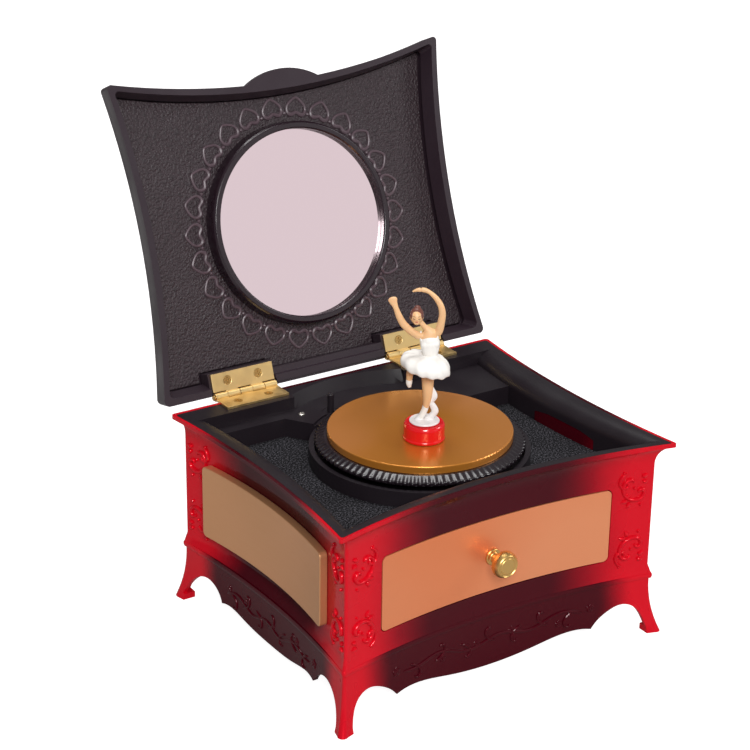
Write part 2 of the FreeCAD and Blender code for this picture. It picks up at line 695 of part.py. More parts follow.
def turntable_gear():
    """Gear, hub and spindle under the plate."""
    gear = spur_gear(TABLE_TEETH, 74.2, 77.2, 0, TABLE_Y, math.pi / TABLE_TEETH)
    hub = rod(6.0, 77.2, PLINTH_TOP + 0.85, 0, TABLE_Y)
    neck = rod(2.9, 73.8, DISK_TOP - 3.1, 0, TABLE_Y)
    return fuse_all([gear, hub, neck, rod(2.5, 66.4, 74.4, 0, TABLE_Y)])


def bearing(y, bore):
    """Flanged bush in the tray floor."""
    bush = rod(3.95, 67.6, FLOOR_Z + 0.1, 0, y).fuse(rod(5.2, FLOOR_Z + 0.02, FLOOR_Z + 1.4, 0, y))
    return bush.cut(rod(bore + RUN, 60, 80, 0, y))


# ---- dancer ------------------------------------------------------------------------------
RIGHT = V(0.835, -0.55, 0)      # to the right of someone facing the dancer
TOWARD = V(-0.55, -0.835, 0)    # the way the dancer faces


def figure_point(right, toward, z):
    return V(FIGURE_X, FIGURE_Y, z) + RIGHT * right + TOWARD * toward


def limb(a, b, ra, rb):
    """Tapered rod between two points with round ends."""
    axis = b - a
    if ra == rb:
        core = Part.makeCylinder(ra, axis.Length, a, axis)
    else:
        core = Part.makeCone(ra, rb, axis.Length, a, axis)
    return fuse_all([core, Part.makeSphere(ra, a), Part.makeSphere(rb, b)])


def dancer_base():
    """Red cup that holds the magnet."""
    low = DISK_TOP + 0.15
    high = low + 7.2
    profile = [
        (0, low), (FOOT_R - 0.4, low), (FOOT_R, low + 0.5),
        (FOOT_R, high - 0.6), (FOOT_R - 0.6, high), (0, high),
    ]
    cup = turned(profile, FIGURE_X, FIGURE_Y)
    return cup.cut(rod(6.05, low + 0.8, low + 4.0, FIGURE_X, FIGURE_Y))


def base_magnet():
    return rod(6.0, DISK_TOP + 1.0, DISK_TOP + 4.1, FIGURE_X, FIGURE_Y)


def dancer_stand():
    """White plastic stand: a disc on the base and a wavy stem beside the leg."""
    low = DISK_TOP + 7.37
    disc = rod(6.5, low, low + 1.0, FIGURE_X, FIGURE_Y)
    stem = [(4.2, 0.0, 95.2), (5.2, 0.0, 98.8), (4.3, 0.0, 101.8), (5.1, 0.0, 105.6), (4.9, 0.0, 108.0)]
    pts = [figure_point(*p) for p in stem]
    return fuse_all([disc] + [limb(a, b, 1.0, 1.0) for a, b in zip(pts, pts[1:])])


def dancer_figure():
    """Figure on one foot, the other raised, arms over the head."""
    joints = {
        "toe": (0.6, 0.0, 95.85), "ankle": (0.8, 0.0, 100.5), "knee": (0.9, 0.6, 105.5),
        "hip": (1.0, 0.0, 114.0), "waist": (1.6, 0.0, 121.5), "chest": (1.6, 0.0, 128.4),
        "neck": (0.4, 0.0, 133.4), "head": (-3.7, 0.6, 138.6), "bun": (-3.5, -0.8, 141.4),
        "shoulder_r": (4.0, 0.0, 132.4), "elbow_r": (5.4, 0.9, 141.4), "wrist_r": (1.5, 0.6, 148.0),
        "hand_r": (-5.0, 0.6, 149.6),
        "shoulder_l": (-2.6, 0.0, 131.2), "elbow_l": (-9.2, 0.9, 135.6), "wrist_l": (-12.0, 0.6, 141.0),
        "hand_l": (-13.6, 0.6, 145.6),
        "knee_up": (-1.2, 4.6, 112.2), "foot_up": (-6.4, 0.5, 110.0),
    }
    p = {name: figure_point(*place) for name, place in joints.items()}
    bones = [
        ("toe", "ankle", 1.1, 1.3), ("ankle", "knee", 1.3, 1.9), ("knee", "hip", 1.9, 2.4),
        ("hip", "waist", 2.6, 2.6), ("waist", "chest", 2.5, 3.2), ("chest", "neck", 2.6, 1.3),
        ("neck", "head", 1.2, 1.3), ("shoulder_l", "shoulder_r", 1.4, 1.4),
        ("shoulder_r", "elbow_r", 1.5, 1.4), ("elbow_r", "wrist_r", 1.4, 0.9),
        ("wrist_r", "hand_r", 0.9, 0.8),
        ("shoulder_l", "elbow_l", 1.5, 1.3), ("elbow_l", "wrist_l", 1.3, 0.9),
        ("wrist_l", "hand_l", 0.9, 0.9),
        ("hip", "knee_up", 2.2, 1.7), ("knee_up", "foot_up", 1.6, 1.0),
    ]
    solids = [limb(p[a], p[b], ra, rb) for a, b, ra, rb in bones]
    solids.append(Part.makeSphere(2.7, p["head"]))
    solids.append(Part.makeSphere(1.6, p["bun"]))
    return fuse_all(solids)


TUTU_SHIFT = 1.1        # the waist leans this far off the foot's axis


def dancer_tutu():
    """Stiff skirt around the hips, its brim drooping."""
    profile = [
        (3.5, 122.2), (6.0, 121.4), (9.6, 118.2), (10.6, 115.6), (10.0, 113.4),
        (9.2, 113.6), (8.0, 116.4), (3.5, 118.4),
    ]
    return turned(profile, FIGURE_X + RIGHT.x * TUTU_SHIFT, FIGURE_Y + RIGHT.y * TUTU_SHIFT)


# ---- stop post ---------------------------------------------------------------------------
LEVER_PIVOT = V(8.0, 48.5, 63.6)


def stop_post():
    """Small rod that the shut lid would press, with a collar for its spring."""
    post = rod(1.4, 64.4, POST_TOP - 0.5, POST_X, POST_Y).fuse(rod(2.6, 76.6, 77.5, POST_X, POST_Y))
    return post.fuse(rod(1.0, POST_TOP - 0.6, POST_TOP, POST_X, POST_Y))


def stop_guide():
    """Housing in the ledge around the post and its spring."""
    body = rod(3.55, 66.0, LEDGE_Z - 0.05, POST_X, POST_Y)
    body = body.cut(rod(3.0, 67.4, LEDGE_Z - 1.2, POST_X, POST_Y))
    return body.cut(rod(1.4 + RUN, 60, 90, POST_X, POST_Y))


def stop_spring():
    """Compression spring of eight-sided wire between the housing's floor and the post's collar."""
    coil_r, wire_r, pitch, height = 2.2, 0.26, 1.6, 8.4
    spine = Part.Wire(Part.makeHelix(pitch, height, coil_r))
    corners = []
    for i in range(8):
        a = math.radians(45 * i + 22.5)
        corners.append(V(coil_r + wire_r * math.cos(a), 0, wire_r * math.sin(a)))
    section = Part.makePolygon(corners + [corners[0]])
    coil = spine.makePipeShell([section], True, True)
    return coil.translated(V(POST_X, POST_Y, 67.75))


def brake_lever():
    """Arm that the post pushes down onto the governor's fan."""
    p = LEVER_PIVOT
    arm = box(-47.4, p.x + 3.0, p.y - 3.4, p.y - 1.6, p.z - 0.7, p.z + 0.5)
    arm = arm.fuse(box(POST_X - 2.0, POST_X + 2.0, POST_Y - 1.6, p.y - 1.6, p.z - 0.7, p.z + 0.5))
    arm = arm.fuse(rod_y(2.4, p.y - 3.4, p.y - 1.6, p.x, p.z))
    arm = arm.fuse(box(-47.4, -45.4, p.y - 3.4, p.y - 1.6, p.z - 1.8, p.z))
    return arm.cut(rod_y(0.8 + RUN, 30, 60, p.x, p.z)).removeSplitter()


def lever_bracket():
    p = LEVER_PIVOT
    post = box(p.x - 3, p.x + 3, p.y - 1.2, p.y + 0.4, BED_TOP, p.z + 3)
    return post.fuse(rod_y(0.8, p.y - 4.0, p.y - 1.0, p.x, p.z))


# ---- movement ----------------------------------------------------------------------------
BED_LOW = BASE_Z + 0.05
BED_TOP = 29.4
BARREL_R = 11.0
CROWN_R = 9.6           # mid radius of the crown teeth
AXIS_Z = 56.0           # cylinder axis height
CYL_R = 6.4
CROWN_TEETH = 24
WHEEL_MODULE = 0.8
GOVERNOR_Y = 46.5
NOTES = 18              # teeth of the comb
FIRST_NOTE = -36.4      # x of the first row of pins
NOTE_STEP = 1.2
COMB_SCREWS = (-32.0, -20.0)
COMB_SCREW_Y = 53.5


def movement_bedplate():
    bed = box(-52.0, 20.0, 20.5, 61.0, BED_LOW, BED_TOP)
    holes = [rod(2.0 + RUN, 20, 40, 0, DRIVE_Y)]
    holes += [rod(1.0, 20, 40, x, y) for x, y in MOVEMENT_SCREWS]
    return bed.cut(fuse_all(holes))


def movement_screws():
    low, high = BASE_Z - 2.05, BED_TOP - 0.2
    return Part.makeCompound([screw(x, y, low, high, 0.98, 2.2) for x, y in MOVEMENT_SCREWS])


def spring_barrel():
    """Barrel that holds the mainspring, with crown teeth around its top."""
    low, high = BED_TOP + 0.4, 44.0
    cup = rod(BARREL_R, low, high, 0, DRIVE_Y).cut(rod(BARREL_R - 1.0, low + 1.0, high - 1.2, 0, DRIVE_Y))
    cup = cup.cut(rod(2.0 + RUN, low - 1, high - 1.3, 0, DRIVE_Y))
    teeth = []
    step = 360.0 / CROWN_TEETH
    width = 2 * math.pi * CROWN_R / CROWN_TEETH * 0.34
    for i in range(CROWN_TEETH):
        tooth = box(CROWN_R - 1.2, CROWN_R + 1.2, -width / 2, width / 2, high - 0.1, high + 1.5)
        tooth.rotate(V(0, 0, 0), V(0, 0, 1), (i + 0.5) * step)
        teeth.append(tooth.translated(V(0, DRIVE_Y, 0)))
    return fuse_all([cup] + teeth)


def mainspring():
    """Flat spring coiled inside the barrel."""
    def point(turn, r_add):
        r = 3.0 + 1.35 * turn + r_add
        a = 2 * math.pi * turn
        return V(r * math.cos(a), DRIVE_Y + r * math.sin(a), BED_TOP + 2.0)
    turns = [i / 12.0 for i in range(4 * 12 + 1)]
    inner = Part.BSplineCurve()
    inner.interpolate([point(t, 0.0) for t in turns])
    outer = Part.BSplineCurve()
    outer.interpolate([point(t, 0.35) for t in reversed(turns)])
    ends = [Part.makeLine(point(turns[-1], 0.0), point(turns[-1], 0.35)),
            Part.makeLine(point(0.0, 0.35), point(0.0, 0.0))]
    wire = Part.Wire([inner.toShape(), ends[0], outer.toShape(), ends[1]])
    return Part.Face(wire).extrude(V(0, 0, 10.0))


def drive_shaft():
    """Shaft from the barrel up through the tray floor."""
    return rod(1.5, 44.0, 77.6, 0, DRIVE_Y)


def drive_pinion():
    pinion = spur_gear(PINION_TEETH, 74.0, 77.4, 0, DRIVE_Y, -math.pi / 2 + 2 * math.pi / PINION_TEETH)
    return pinion.cut(rod(1.5, 60, 90, 0, DRIVE_Y))


def winding_arbor():
    return fuse_all([rod(2.0, 12.0, 42.4, 0, DRIVE_Y), rod(2.6, 31.0, 41.5, 0, DRIVE_Y)])


def winding_key():
    """Butterfly key screwed on the arbor under the box."""
    bore = 2.0 + THREAD_ROOM
    sleeve = tube(bore, 3.4, 9.0, 21.0, 0, DRIVE_Y).fuse(rod(3.4, 8.0, 12.0, 0, DRIVE_Y))
    wings = []
    for side in (-1, 1):
        disc = rod_y(5.6, DRIVE_Y - 1.0, DRIVE_Y + 1.0, side * 7.0, 10.0)
        wings.append(disc.cut(rod_y(2.6, DRIVE_Y - 2, DRIVE_Y + 2, side * 8.0, 10.0)))
    return fuse_all([sleeve] + wings).cut(rod(bore, 11.95, 30, 0, DRIVE_Y)).removeSplitter()


def axle_wheel(teeth, x0, x1, y, z, phase, bore):
    """Spur wheel on an axis along X."""
    wheel = spur_gear(teeth, 0, x1 - x0, 0, 0, phase, WHEEL_MODULE)
    wheel = wheel.cut(rod(bore, -1, 10))
    wheel.rotate(V(0, 0, 0), V(0, 1, 0), 90)
    return wheel.translated(V(x0, y, z))


def cylinder():
    """Pinned cylinder that plucks the comb."""
    drum = rod_x(CYL_R, -37.5, -14.5, DRIVE_Y, AXIS_Z)
    pins = []
    for row in range(NOTES):
        x = FIRST_NOTE + NOTE_STEP * row
        for k in range(3):
            a = math.radians(120 * k + 47 * row)
            out = V(0, math.cos(a), math.sin(a))
            foot = V(x, DRIVE_Y, AXIS_Z) + out * (CYL_R - 0.3)
            pins.append(Part.makeCylinder(0.16, 0.8, foot, out))
    return drum.multiFuse(pins).cut(rod_x(1.2, -60, 0, DRIVE_Y, AXIS_Z))


def cylinder_shaft():
    return rod_x(1.2, -43.4, -7.6, DRIVE_Y, AXIS_Z)


def cylinder_gear():
    """Wheel driven by the crown teeth at one end and wheel for the governor at the other."""
    inner = axle_wheel(24, -10.6, -8.6, DRIVE_Y, AXIS_Z, math.pi / 24, 1.2)
    outer = axle_wheel(24, -43.0, -41.4, DRIVE_Y, AXIS_Z, 0.0, 1.2)
    return inner, outer


def bracket(x0, x1, top):
    """Upright that carries the cylinder shaft and the governor shaft."""
    plate_up = box(x0, x1, 29.0, 51.0, BED_TOP + 0.02, top)
    plate_up = plate_up.cut(rod_x(1.2 + RUN, -60, 20, DRIVE_Y, AXIS_Z))
    return plate_up.cut(rod_x(0.6 + RUN, -60, 20, GOVERNOR_Y, AXIS_Z))


def comb():
    """Steel comb: a root plate with one tooth per note."""
    tip = DRIVE_Y + CYL_R + 0.75
    teeth = []
    for i in range(NOTES):
        x0 = FIRST_NOTE - 0.4 + NOTE_STEP * i
        teeth.append(box(x0, x0 + 0.9, tip, 49.0, AXIS_Z - 0.6, AXIS_Z))
    root = box(-37.2, -15.2, 49.0, 57.0, AXIS_Z - 0.6, AXIS_Z + 0.4)
    holes = [rod(1.0, 50, 60, x, COMB_SCREW_Y) for x in COMB_SCREWS]
    return fuse_all([root] + teeth).cut(fuse_all(holes))


def comb_block():
    block = box(-37.2, -15.2, 51.4, 58.0, BED_TOP, AXIS_Z - 0.65)
    return block.cut(fuse_all([rod(0.95, 46, 60, x, COMB_SCREW_Y) for x in COMB_SCREWS]))


def comb_screws():
    parts = []
    slot = 0.25
    for x in COMB_SCREWS:
        head = rod(1.9, AXIS_Z + 0.42, AXIS_Z + 1.7, x, COMB_SCREW_Y)
        low, high = COMB_SCREW_Y - slot, COMB_SCREW_Y + slot
        head = head.cut(box(x - 3, x + 3, low, high, AXIS_Z + 1.1, AXIS_Z + 3))
        parts.append(head.fuse(rod(0.93, 48.0, AXIS_Z + 0.5, x, COMB_SCREW_Y)))
    return Part.makeCompound(parts)


def governor_shaft():
    """Thin spindle with its pinion, driven by the cylinder's end wheel."""
    spindle = rod_x(0.6, -51.4, -37.8, GOVERNOR_Y, AXIS_Z)
    return spindle.fuse(axle_wheel(4, -43.0, -41.4, GOVERNOR_Y, AXIS_Z, math.pi / 4, 0.3))


def air_fan():
    """Two vanes that slow the train."""
    hub = rod_x(1.1, -49.0, -44.4, GOVERNOR_Y, AXIS_Z)
    reach, half = 3.6, 0.25
    vane = box(-48.8, -44.6, GOVERNOR_Y - reach, GOVERNOR_Y + reach, AXIS_Z - half, AXIS_Z + half)
    return hub.fuse(vane)


def governor_bracket():
    """Outer bearing of the governor spindle."""
    arm = box(-51.6, -50.4, 43.0, 50.0, BED_TOP, AXIS_Z + 3)
    return arm.cut(rod_x(0.6 + RUN, -60, -30, GOVERNOR_Y, AXIS_Z))


# ---- build -------------------------------------------------------------------------------
os.makedirs("parts", exist_ok=True)
inner_wheel, outer_wheel = cylinder_gear()
PIECES = {
    "case_shell": case_shell(),
    "base_frame": base_frame(),
    "bottom_plate": bottom_plate(),
    "bottom_screws": bottom_screws(),
    "screw_bosses": screw_bosses(),
    "tray": tray(),
    "floor_flocking": floor_flocking(),
    "side_panel_left": side_panel(-1),
    "side_panel_right": side_panel(1),
    "drawer_face": drawer_face(),
    "drawer_box": drawer_box(),
    "drawer_lining": drawer_lining(),
    "drawer_knob": knob(),
    "knob_screw": knob_screw(),
    "drawer_shelf": drawer_shelf(),
    "drawer_guides": Part.makeCompound([drawer_guide(-1), drawer_guide(1)]),
    "movement_divider": movement_divider(),
    "lid_shell": lid_shell(),
    "lid_liner": lid_liner(),
    "mirror_bezel": mirror_bezel(),
    "mirror": mirror(),
    "mirror_backing": mirror_backing(),
    "hinge_left_case_leaf": case_leaf(*HINGE_SPANS[0]),
    "hinge_left_lid_leaf": lid_leaf(*HINGE_SPANS[0]),
    "hinge_pins": Part.makeCompound([hinge_pin(*span) for span in HINGE_SPANS]),
    "hinge_right_case_leaf": case_leaf(*HINGE_SPANS[1]),
    "hinge_right_lid_leaf": lid_leaf(*HINGE_SPANS[1]),
    "hinge_case_screws": hinge_case_screws(),
    "hinge_lid_screws": hinge_lid_screws(),
    "turntable_disk": turntable_disk(),
    "turntable_plate": turntable_plate(),
    "turntable_gear": turntable_gear(),
    "turntable_bearing": bearing(TABLE_Y, 2.5),
    "drive_bearing": bearing(DRIVE_Y, 1.5),
    "dancer_base": dancer_base(),
    "base_magnet": base_magnet(),
    "dancer_stand": dancer_stand(),
    "dancer_figure": dancer_figure(),
    "dancer_tutu": dancer_tutu(),
    "stop_post": stop_post(),
    "stop_guide": stop_guide(),
    "stop_spring": stop_spring(),
    "brake_lever": brake_lever(),
    "lever_bracket": lever_bracket(),
    "movement_bedplate": movement_bedplate(),
    "movement_screws": movement_screws(),
    "spring_barrel": spring_barrel(),
    "mainspring": mainspring(),
    "drive_shaft": drive_shaft(),
    "drive_pinion": drive_pinion(),
    "winding_arbor": winding_arbor(),
    "winding_key": winding_key(),
    "cylinder": cylinder(),
    "cylinder_spindle": fuse_all([cylinder_shaft(), inner_wheel, outer_wheel]),
    "cylinder_brackets": Part.makeCompound([bracket(-13.4, -12.2, 60.0), bracket(-39.4, -38.2, 60.0)]),
    "comb": comb(),
    "comb_block": comb_block(),
    "comb_screws": comb_screws(),
    "governor_spindle": governor_shaft().fuse(air_fan()),
    "governor_bracket": governor_bracket(),
}
for name, shape in PIECES.items():
    save(name, shape)
    bound = shape.BoundBox
    state = "ok" if shape.isValid() else "BROKEN"
    size = (bound.XLength, bound.YLength, bound.ZLength)
    print("%-22s %s, %d solids, %.1f x %.1f x %.1f mm" % ((name, state, len(shape.Solids)) + size))
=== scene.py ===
"""Looks of a musical jewellery box: red case, gold drawer, black lid with a mirror, turning dancer."""
import json
import math

import bmesh
import bpy
import numpy as np
from mathutils import Matrix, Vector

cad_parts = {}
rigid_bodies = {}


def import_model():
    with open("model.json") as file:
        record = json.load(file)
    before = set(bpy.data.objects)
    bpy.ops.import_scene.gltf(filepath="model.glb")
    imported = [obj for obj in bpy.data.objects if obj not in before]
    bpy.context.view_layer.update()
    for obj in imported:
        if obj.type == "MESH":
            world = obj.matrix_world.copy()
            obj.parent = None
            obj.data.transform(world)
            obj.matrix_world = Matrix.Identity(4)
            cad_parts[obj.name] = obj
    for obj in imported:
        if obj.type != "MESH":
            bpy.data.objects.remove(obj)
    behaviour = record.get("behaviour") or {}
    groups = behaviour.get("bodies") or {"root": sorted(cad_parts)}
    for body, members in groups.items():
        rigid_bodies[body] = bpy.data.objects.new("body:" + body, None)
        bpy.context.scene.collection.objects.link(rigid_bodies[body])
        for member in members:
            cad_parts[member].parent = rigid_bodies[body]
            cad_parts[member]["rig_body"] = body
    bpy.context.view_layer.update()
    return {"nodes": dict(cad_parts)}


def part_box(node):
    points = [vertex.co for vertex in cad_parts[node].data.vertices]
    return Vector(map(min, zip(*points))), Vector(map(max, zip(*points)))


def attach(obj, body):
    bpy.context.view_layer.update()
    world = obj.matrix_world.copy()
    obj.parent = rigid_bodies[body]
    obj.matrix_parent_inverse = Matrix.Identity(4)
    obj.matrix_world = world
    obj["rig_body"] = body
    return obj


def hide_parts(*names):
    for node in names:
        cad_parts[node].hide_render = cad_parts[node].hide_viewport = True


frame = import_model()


# ---- floor, lamps and camera -------------------------------------------------------------------
# A plain white sweep under soft lamps. The camera looks down at the front left corner through a
# long lens. Nothing here belongs to the box.
def rgb(r, g, b):
    """Screen colour of 0 to 255 turned into the linear colour that a shader takes."""
    c = np.array([r, g, b], float) / 255.0
    linear = np.where(c <= 0.04045, c / 12.92, ((c + 0.055) / 1.055) ** 2.4)
    return tuple(float(v) for v in linear) + (1.0,)


def new_material(name, colour, roughness=0.5, metallic=0.0, **sockets):
    """Material with one Principled shader; sockets are further constants, by their own names."""
    material = bpy.data.materials.new(name)
    material.use_nodes = True
    shader = material.node_tree.nodes["Principled BSDF"]
    shader.inputs["Base Color"].default_value = colour
    shader.inputs["Roughness"].default_value = roughness
    shader.inputs["Metallic"].default_value = metallic
    for key, value in sockets.items():
        shader.inputs[key.replace("_", " ")].default_value = value
    return material


def build_stage():
    """Floor that rises in a smooth curve behind, a white world, and a key, a fill and a top lamp."""
    depth = np.array([-3.0, 1.4, 2.0, 2.4, 2.6, 2.65])
    height = np.array([0.0, 0.0, 0.06, 0.3, 0.8, 2.4])
    across = np.array([-4.0, 4.0])
    x, k = np.meshgrid(across, np.arange(6))
    points = np.stack([x, depth[k], height[k]], -1).reshape(-1, 3)
    mesh = bpy.data.meshes.new("studio_floor")
    quads = [(2 * i, 2 * i + 1, 2 * i + 3, 2 * i + 2) for i in range(5)]
    mesh.from_pydata(points.tolist(), [], quads)
    mesh.shade_smooth()
    floor = bpy.data.objects.new("studio_floor", mesh)
    bpy.context.scene.collection.objects.link(floor)
    paper = new_material("studio_paper", rgb(176, 174, 174), 0.9, Emission_Color=rgb(255, 254, 254))
    tree = paper.node_tree
    seen = tree.nodes.new("ShaderNodeLightPath")
    glow = tree.nodes.new("ShaderNodeMath")
    glow.operation = "MULTIPLY"
    glow.inputs[1].default_value = 0.93
    tree.links.new(seen.outputs["Is Camera Ray"], glow.inputs[0])
    tree.links.new(glow.outputs[0], tree.nodes["Principled BSDF"].inputs["Emission Strength"])
    mesh.materials.append(paper)
    world = bpy.data.worlds.new("studio_world")
    world.use_nodes = True
    world.node_tree.nodes["Background"].inputs["Color"].default_value = (1.0, 0.99, 0.99, 1.0)
    world.node_tree.nodes["Background"].inputs["Strength"].default_value = 0.24
    bpy.context.scene.world = world
    lamps = (
        ("key", (-0.8, -1.6, 1.3), 0.7, 36.0),
        ("fill", (1.5, -0.8, 1.0), 0.6, 7.0),
        ("top", (0.2, 0.4, 1.9), 0.8, 16.0),
        ("card", (0.76, -1.19, 0.42), 0.62, 0.66),
    )
    for name, place, size, power in lamps:
        light = bpy.data.lights.new(name, "AREA")
        light.size = size
        light.energy = power
        lamp = bpy.data.objects.new(name, light)
        lamp.location = place
        back = np.array(place) - np.array([0.0, 0.0, 0.08])
        back /= np.linalg.norm(back)
        right = np.cross([0.0, 0.0, 1.0], back)
        right /= np.linalg.norm(right)
        turn = Matrix(np.column_stack([right, np.cross(back, right), back]).tolist())
        lamp.rotation_euler = turn.to_euler()
        bpy.context.scene.collection.objects.link(lamp)
    bpy.context.scene.view_settings.view_transform = "Standard"


def build_camera():
    """Camera turned about the point it looks at, by its angle round, its height and its roll."""
    azimuth, elevation, roll = math.radians(-33.37), math.radians(23.15), math.radians(0.83)
    target = np.array([0.04726, 0.07896, 0.060])
    distance = 0.97927
    back = np.array([math.sin(azimuth) * math.cos(elevation),
                     -math.cos(azimuth) * math.cos(elevation),
                     math.sin(elevation)])
    level = np.array([math.cos(azimuth), math.sin(azimuth), 0.0])
    rise = np.cross(back, level)
    right = level * math.cos(roll) + rise * math.sin(roll)
    up = rise * math.cos(roll) - level * math.sin(roll)
    data = bpy.data.cameras.new("camera")
    data.sensor_width = 36.0
    data.lens = 102.22
    camera = bpy.data.objects.new("camera", data)
    turn = Matrix(np.column_stack([right, up, back]).tolist()).to_4x4()
    turn.translation = (target + distance * back).tolist()
    camera.matrix_world = turn
    bpy.context.scene.collection.objects.link(camera)
    bpy.context.scene.camera = camera


build_stage()
build_camera()


# ---- case shell --------------------------------------------------------------------------------
# Moulded walls that curve in between sharp corners, with a flared cornice. Their colour runs from
# candy red at the corners to a dark maroon in the middle of each side, under clear lacquer.
def new_group(name, inputs, outputs):
    """Empty shader node group with number inputs and the named outputs."""
    group = bpy.data.node_groups.new(name, "ShaderNodeTree")
    for label, value in inputs:
        socket = group.interface.new_socket(label, in_out="INPUT", socket_type="NodeSocketFloat")
        socket.default_value = value
    for label, kind in outputs:
        group.interface.new_socket(label, in_out="OUTPUT", socket_type="NodeSocket" + kind)
    entry = group.nodes.new("NodeGroupInput")
    leave = group.nodes.new("NodeGroupOutput")
    return group, entry, leave


def node(tree, kind, links=(), **values):
    """Node with properties in lower case, socket values by position (in_0, in_1) and links to inputs."""
    made = tree.nodes.new("ShaderNode" + kind)
    for key, value in values.items():
        if key.startswith("in_"):
            made.inputs[int(key[3:])].default_value = value
        else:
            setattr(made, key, value)
    for index, source in links:
        tree.links.new(source, made.inputs[index])
    return made


def use_group(material, group, **values):
    """The group placed in a material, with its inputs set by name."""
    placed = material.node_tree.nodes.new("ShaderNodeGroup")
    placed.node_tree = group
    for key, value in values.items():
        placed.inputs[key].default_value = value
    return placed


def connect(material, **sources):
    """Leads node outputs to the shader, by the names of its sockets."""
    shader = material.node_tree.nodes["Principled BSDF"]
    for key, source in sources.items():
        material.node_tree.links.new(source, shader.inputs[key.replace("_", " ")])


def ramp(tree, source, low_at, low, high_at, high):
    """Colour that goes evenly from low to high between two values of the source."""
    made = node(tree, "ValToRGB", [(0, source)])
    for stop, place, colour in zip(made.color_ramp.elements, (low_at, high_at), (low, high)):
        stop.position = place
        stop.color = colour
    return made


def noise(tree, where, scale, detail=2.0):
    return node(tree, "TexNoise", [("Vector", where)], in_2=scale, in_3=detail)


def varied(tree, source, low, high):
    """Value that runs from low to high over the middle of a noise."""
    return node(tree, "MapRange", [(0, source.outputs[0])], in_1=0.3, in_2=0.7, in_3=low, in_4=high)


def nodes_of(material):
    """A material's node tree, and the place on the piece that its patterns follow."""
    tree = material.node_tree
    return tree, node(tree, "TexCoord").outputs["Object"]


def moulded_group():
    """Unevenness of a moulded or sprayed surface.

    Roughness is the base value plus a slow noise; the normal tilts by a fine noise, or orange peel.
    """
    group, entry, leave = new_group(
        "moulded_surface",
        [("Base", 0.4), ("Spread", 0.1), ("Patch", 60.0), ("Grain", 900.0), ("Depth", 0.00002)],
        [("Roughness", "Float"), ("Normal", "Vector")])
    where = node(group, "TexCoord").outputs["Object"]
    patch = node(group, "TexNoise", [("Vector", where), ("Scale", entry.outputs["Patch"])])
    low, high = (node(group, "Math", [(0, entry.outputs["Base"]), (1, entry.outputs["Spread"])],
                      operation=kind) for kind in ("SUBTRACT", "ADD"))
    spread = node(group, "MapRange", [(0, patch.outputs[0]), (3, low.outputs[0]), (4, high.outputs[0])],
                  in_1=0.3, in_2=0.7)
    grain = node(group, "TexNoise", [("Vector", where), ("Scale", entry.outputs["Grain"])])
    bump = node(group, "Bump", [("Height", grain.outputs[0]), ("Distance", entry.outputs["Depth"])])
    group.links.new(spread.outputs[0], leave.inputs["Roughness"])
    group.links.new(bump.outputs[0], leave.inputs["Normal"])
    return group


MOULDED = moulded_group()


def moulded(material, base, spread, grain=900.0, depth=0.00002, patch=60.0):
    """Gives a material the moulded unevenness."""
    placed = use_group(material, MOULDED, Base=base, Spread=spread, Grain=grain, Depth=depth, Patch=patch)
    connect(material, Roughness=placed.outputs["Roughness"], Normal=placed.outputs["Normal"])
    return material


def cast(name, colour, roughness, spread=0.05, grain=900.0, depth=0.00002, patch=60.0, **more):
    """New material with the moulded unevenness about its own roughness."""
    return moulded(new_material(name, colour, roughness, **more), roughness, spread, grain, depth, patch)


def red_fade_group():
    """Candy red at the four corners fading to maroon.

    Distance to the middle of a side, as a share of its half length, is taken on both axes; the lower
    of the two says how near a corner is. A slow noise breaks up the edge of the red.
    """
    group, entry, leave = new_group("corner_red_fade", [("Start", 0.46), ("End", 0.80)], [("Color", "Color")])
    low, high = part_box("case_shell")
    middle = (low + high) / 2
    half = (high - low) / 2
    where = node(group, "TexCoord").outputs["Object"]
    split = node(group, "SeparateXYZ", [(0, where)])
    shares = []
    for axis in (0, 1):
        moved = node(group, "Math", [(0, split.outputs[axis])], operation="SUBTRACT", in_1=middle[axis])
        size = node(group, "Math", [(0, moved.outputs[0])], operation="ABSOLUTE")
        share = node(group, "Math", [(0, size.outputs[0])], operation="DIVIDE", in_1=half[axis])
        shares.append(share.outputs[0])
    nearer = node(group, "Math", [(0, shares[0]), (1, shares[1])], operation="MINIMUM")
    cloud = noise(group, where, 45.0)
    drift = node(group, "MapRange", [(0, cloud.outputs[0])], in_1=0.0, in_2=1.0, in_3=-0.05, in_4=0.05)
    corner_colouring = node(group, "Math", [(0, nearer.outputs[0]), (1, drift.outputs[0])], operation="ADD")
    mask = node(group, "MapRange", [(0, corner_colouring.outputs[0]), (1, entry.outputs[0]), (2, entry.outputs[1])],
                in_3=0.0, in_4=1.0, interpolation_type="SMOOTHSTEP")
    tone = ramp(group, mask.outputs[0], 0.0, rgb(70, 2, 16), 1.0, rgb(216, 14, 34))
    tone.color_ramp.elements.new(0.5).color = rgb(150, 6, 26)
    group.links.new(tone.outputs[0], leave.inputs["Color"])
    return group


RED_FADE = red_fade_group()


def red_lacquer(name, start, end):
    material = new_material(name, rgb(200, 20, 40), 0.3, 0.2, Coat_Weight=0.3,
                            Coat_Roughness=0.05, Specular_IOR_Level=0.05)
    corner_colouring = use_group(material, RED_FADE, Start=start, End=end)
    connect(material, Base_Color=corner_colouring.outputs["Color"])
    return moulded(material, 0.30, 0.06, 700.0, 0.00001)


MERGE = 2e-6        # points nearer than this, in metres, become one


def editable(points, faces):
    """Editable mesh from points in metres and faces, doubles merged."""
    mesh = bpy.data.meshes.new("raw")
    mesh.from_pydata(points.tolist(), [], faces.tolist())
    work = bmesh.new()
    work.from_mesh(mesh)
    bpy.data.meshes.remove(mesh)
    bmesh.ops.remove_doubles(work, verts=work.verts, dist=MERGE)
    return work


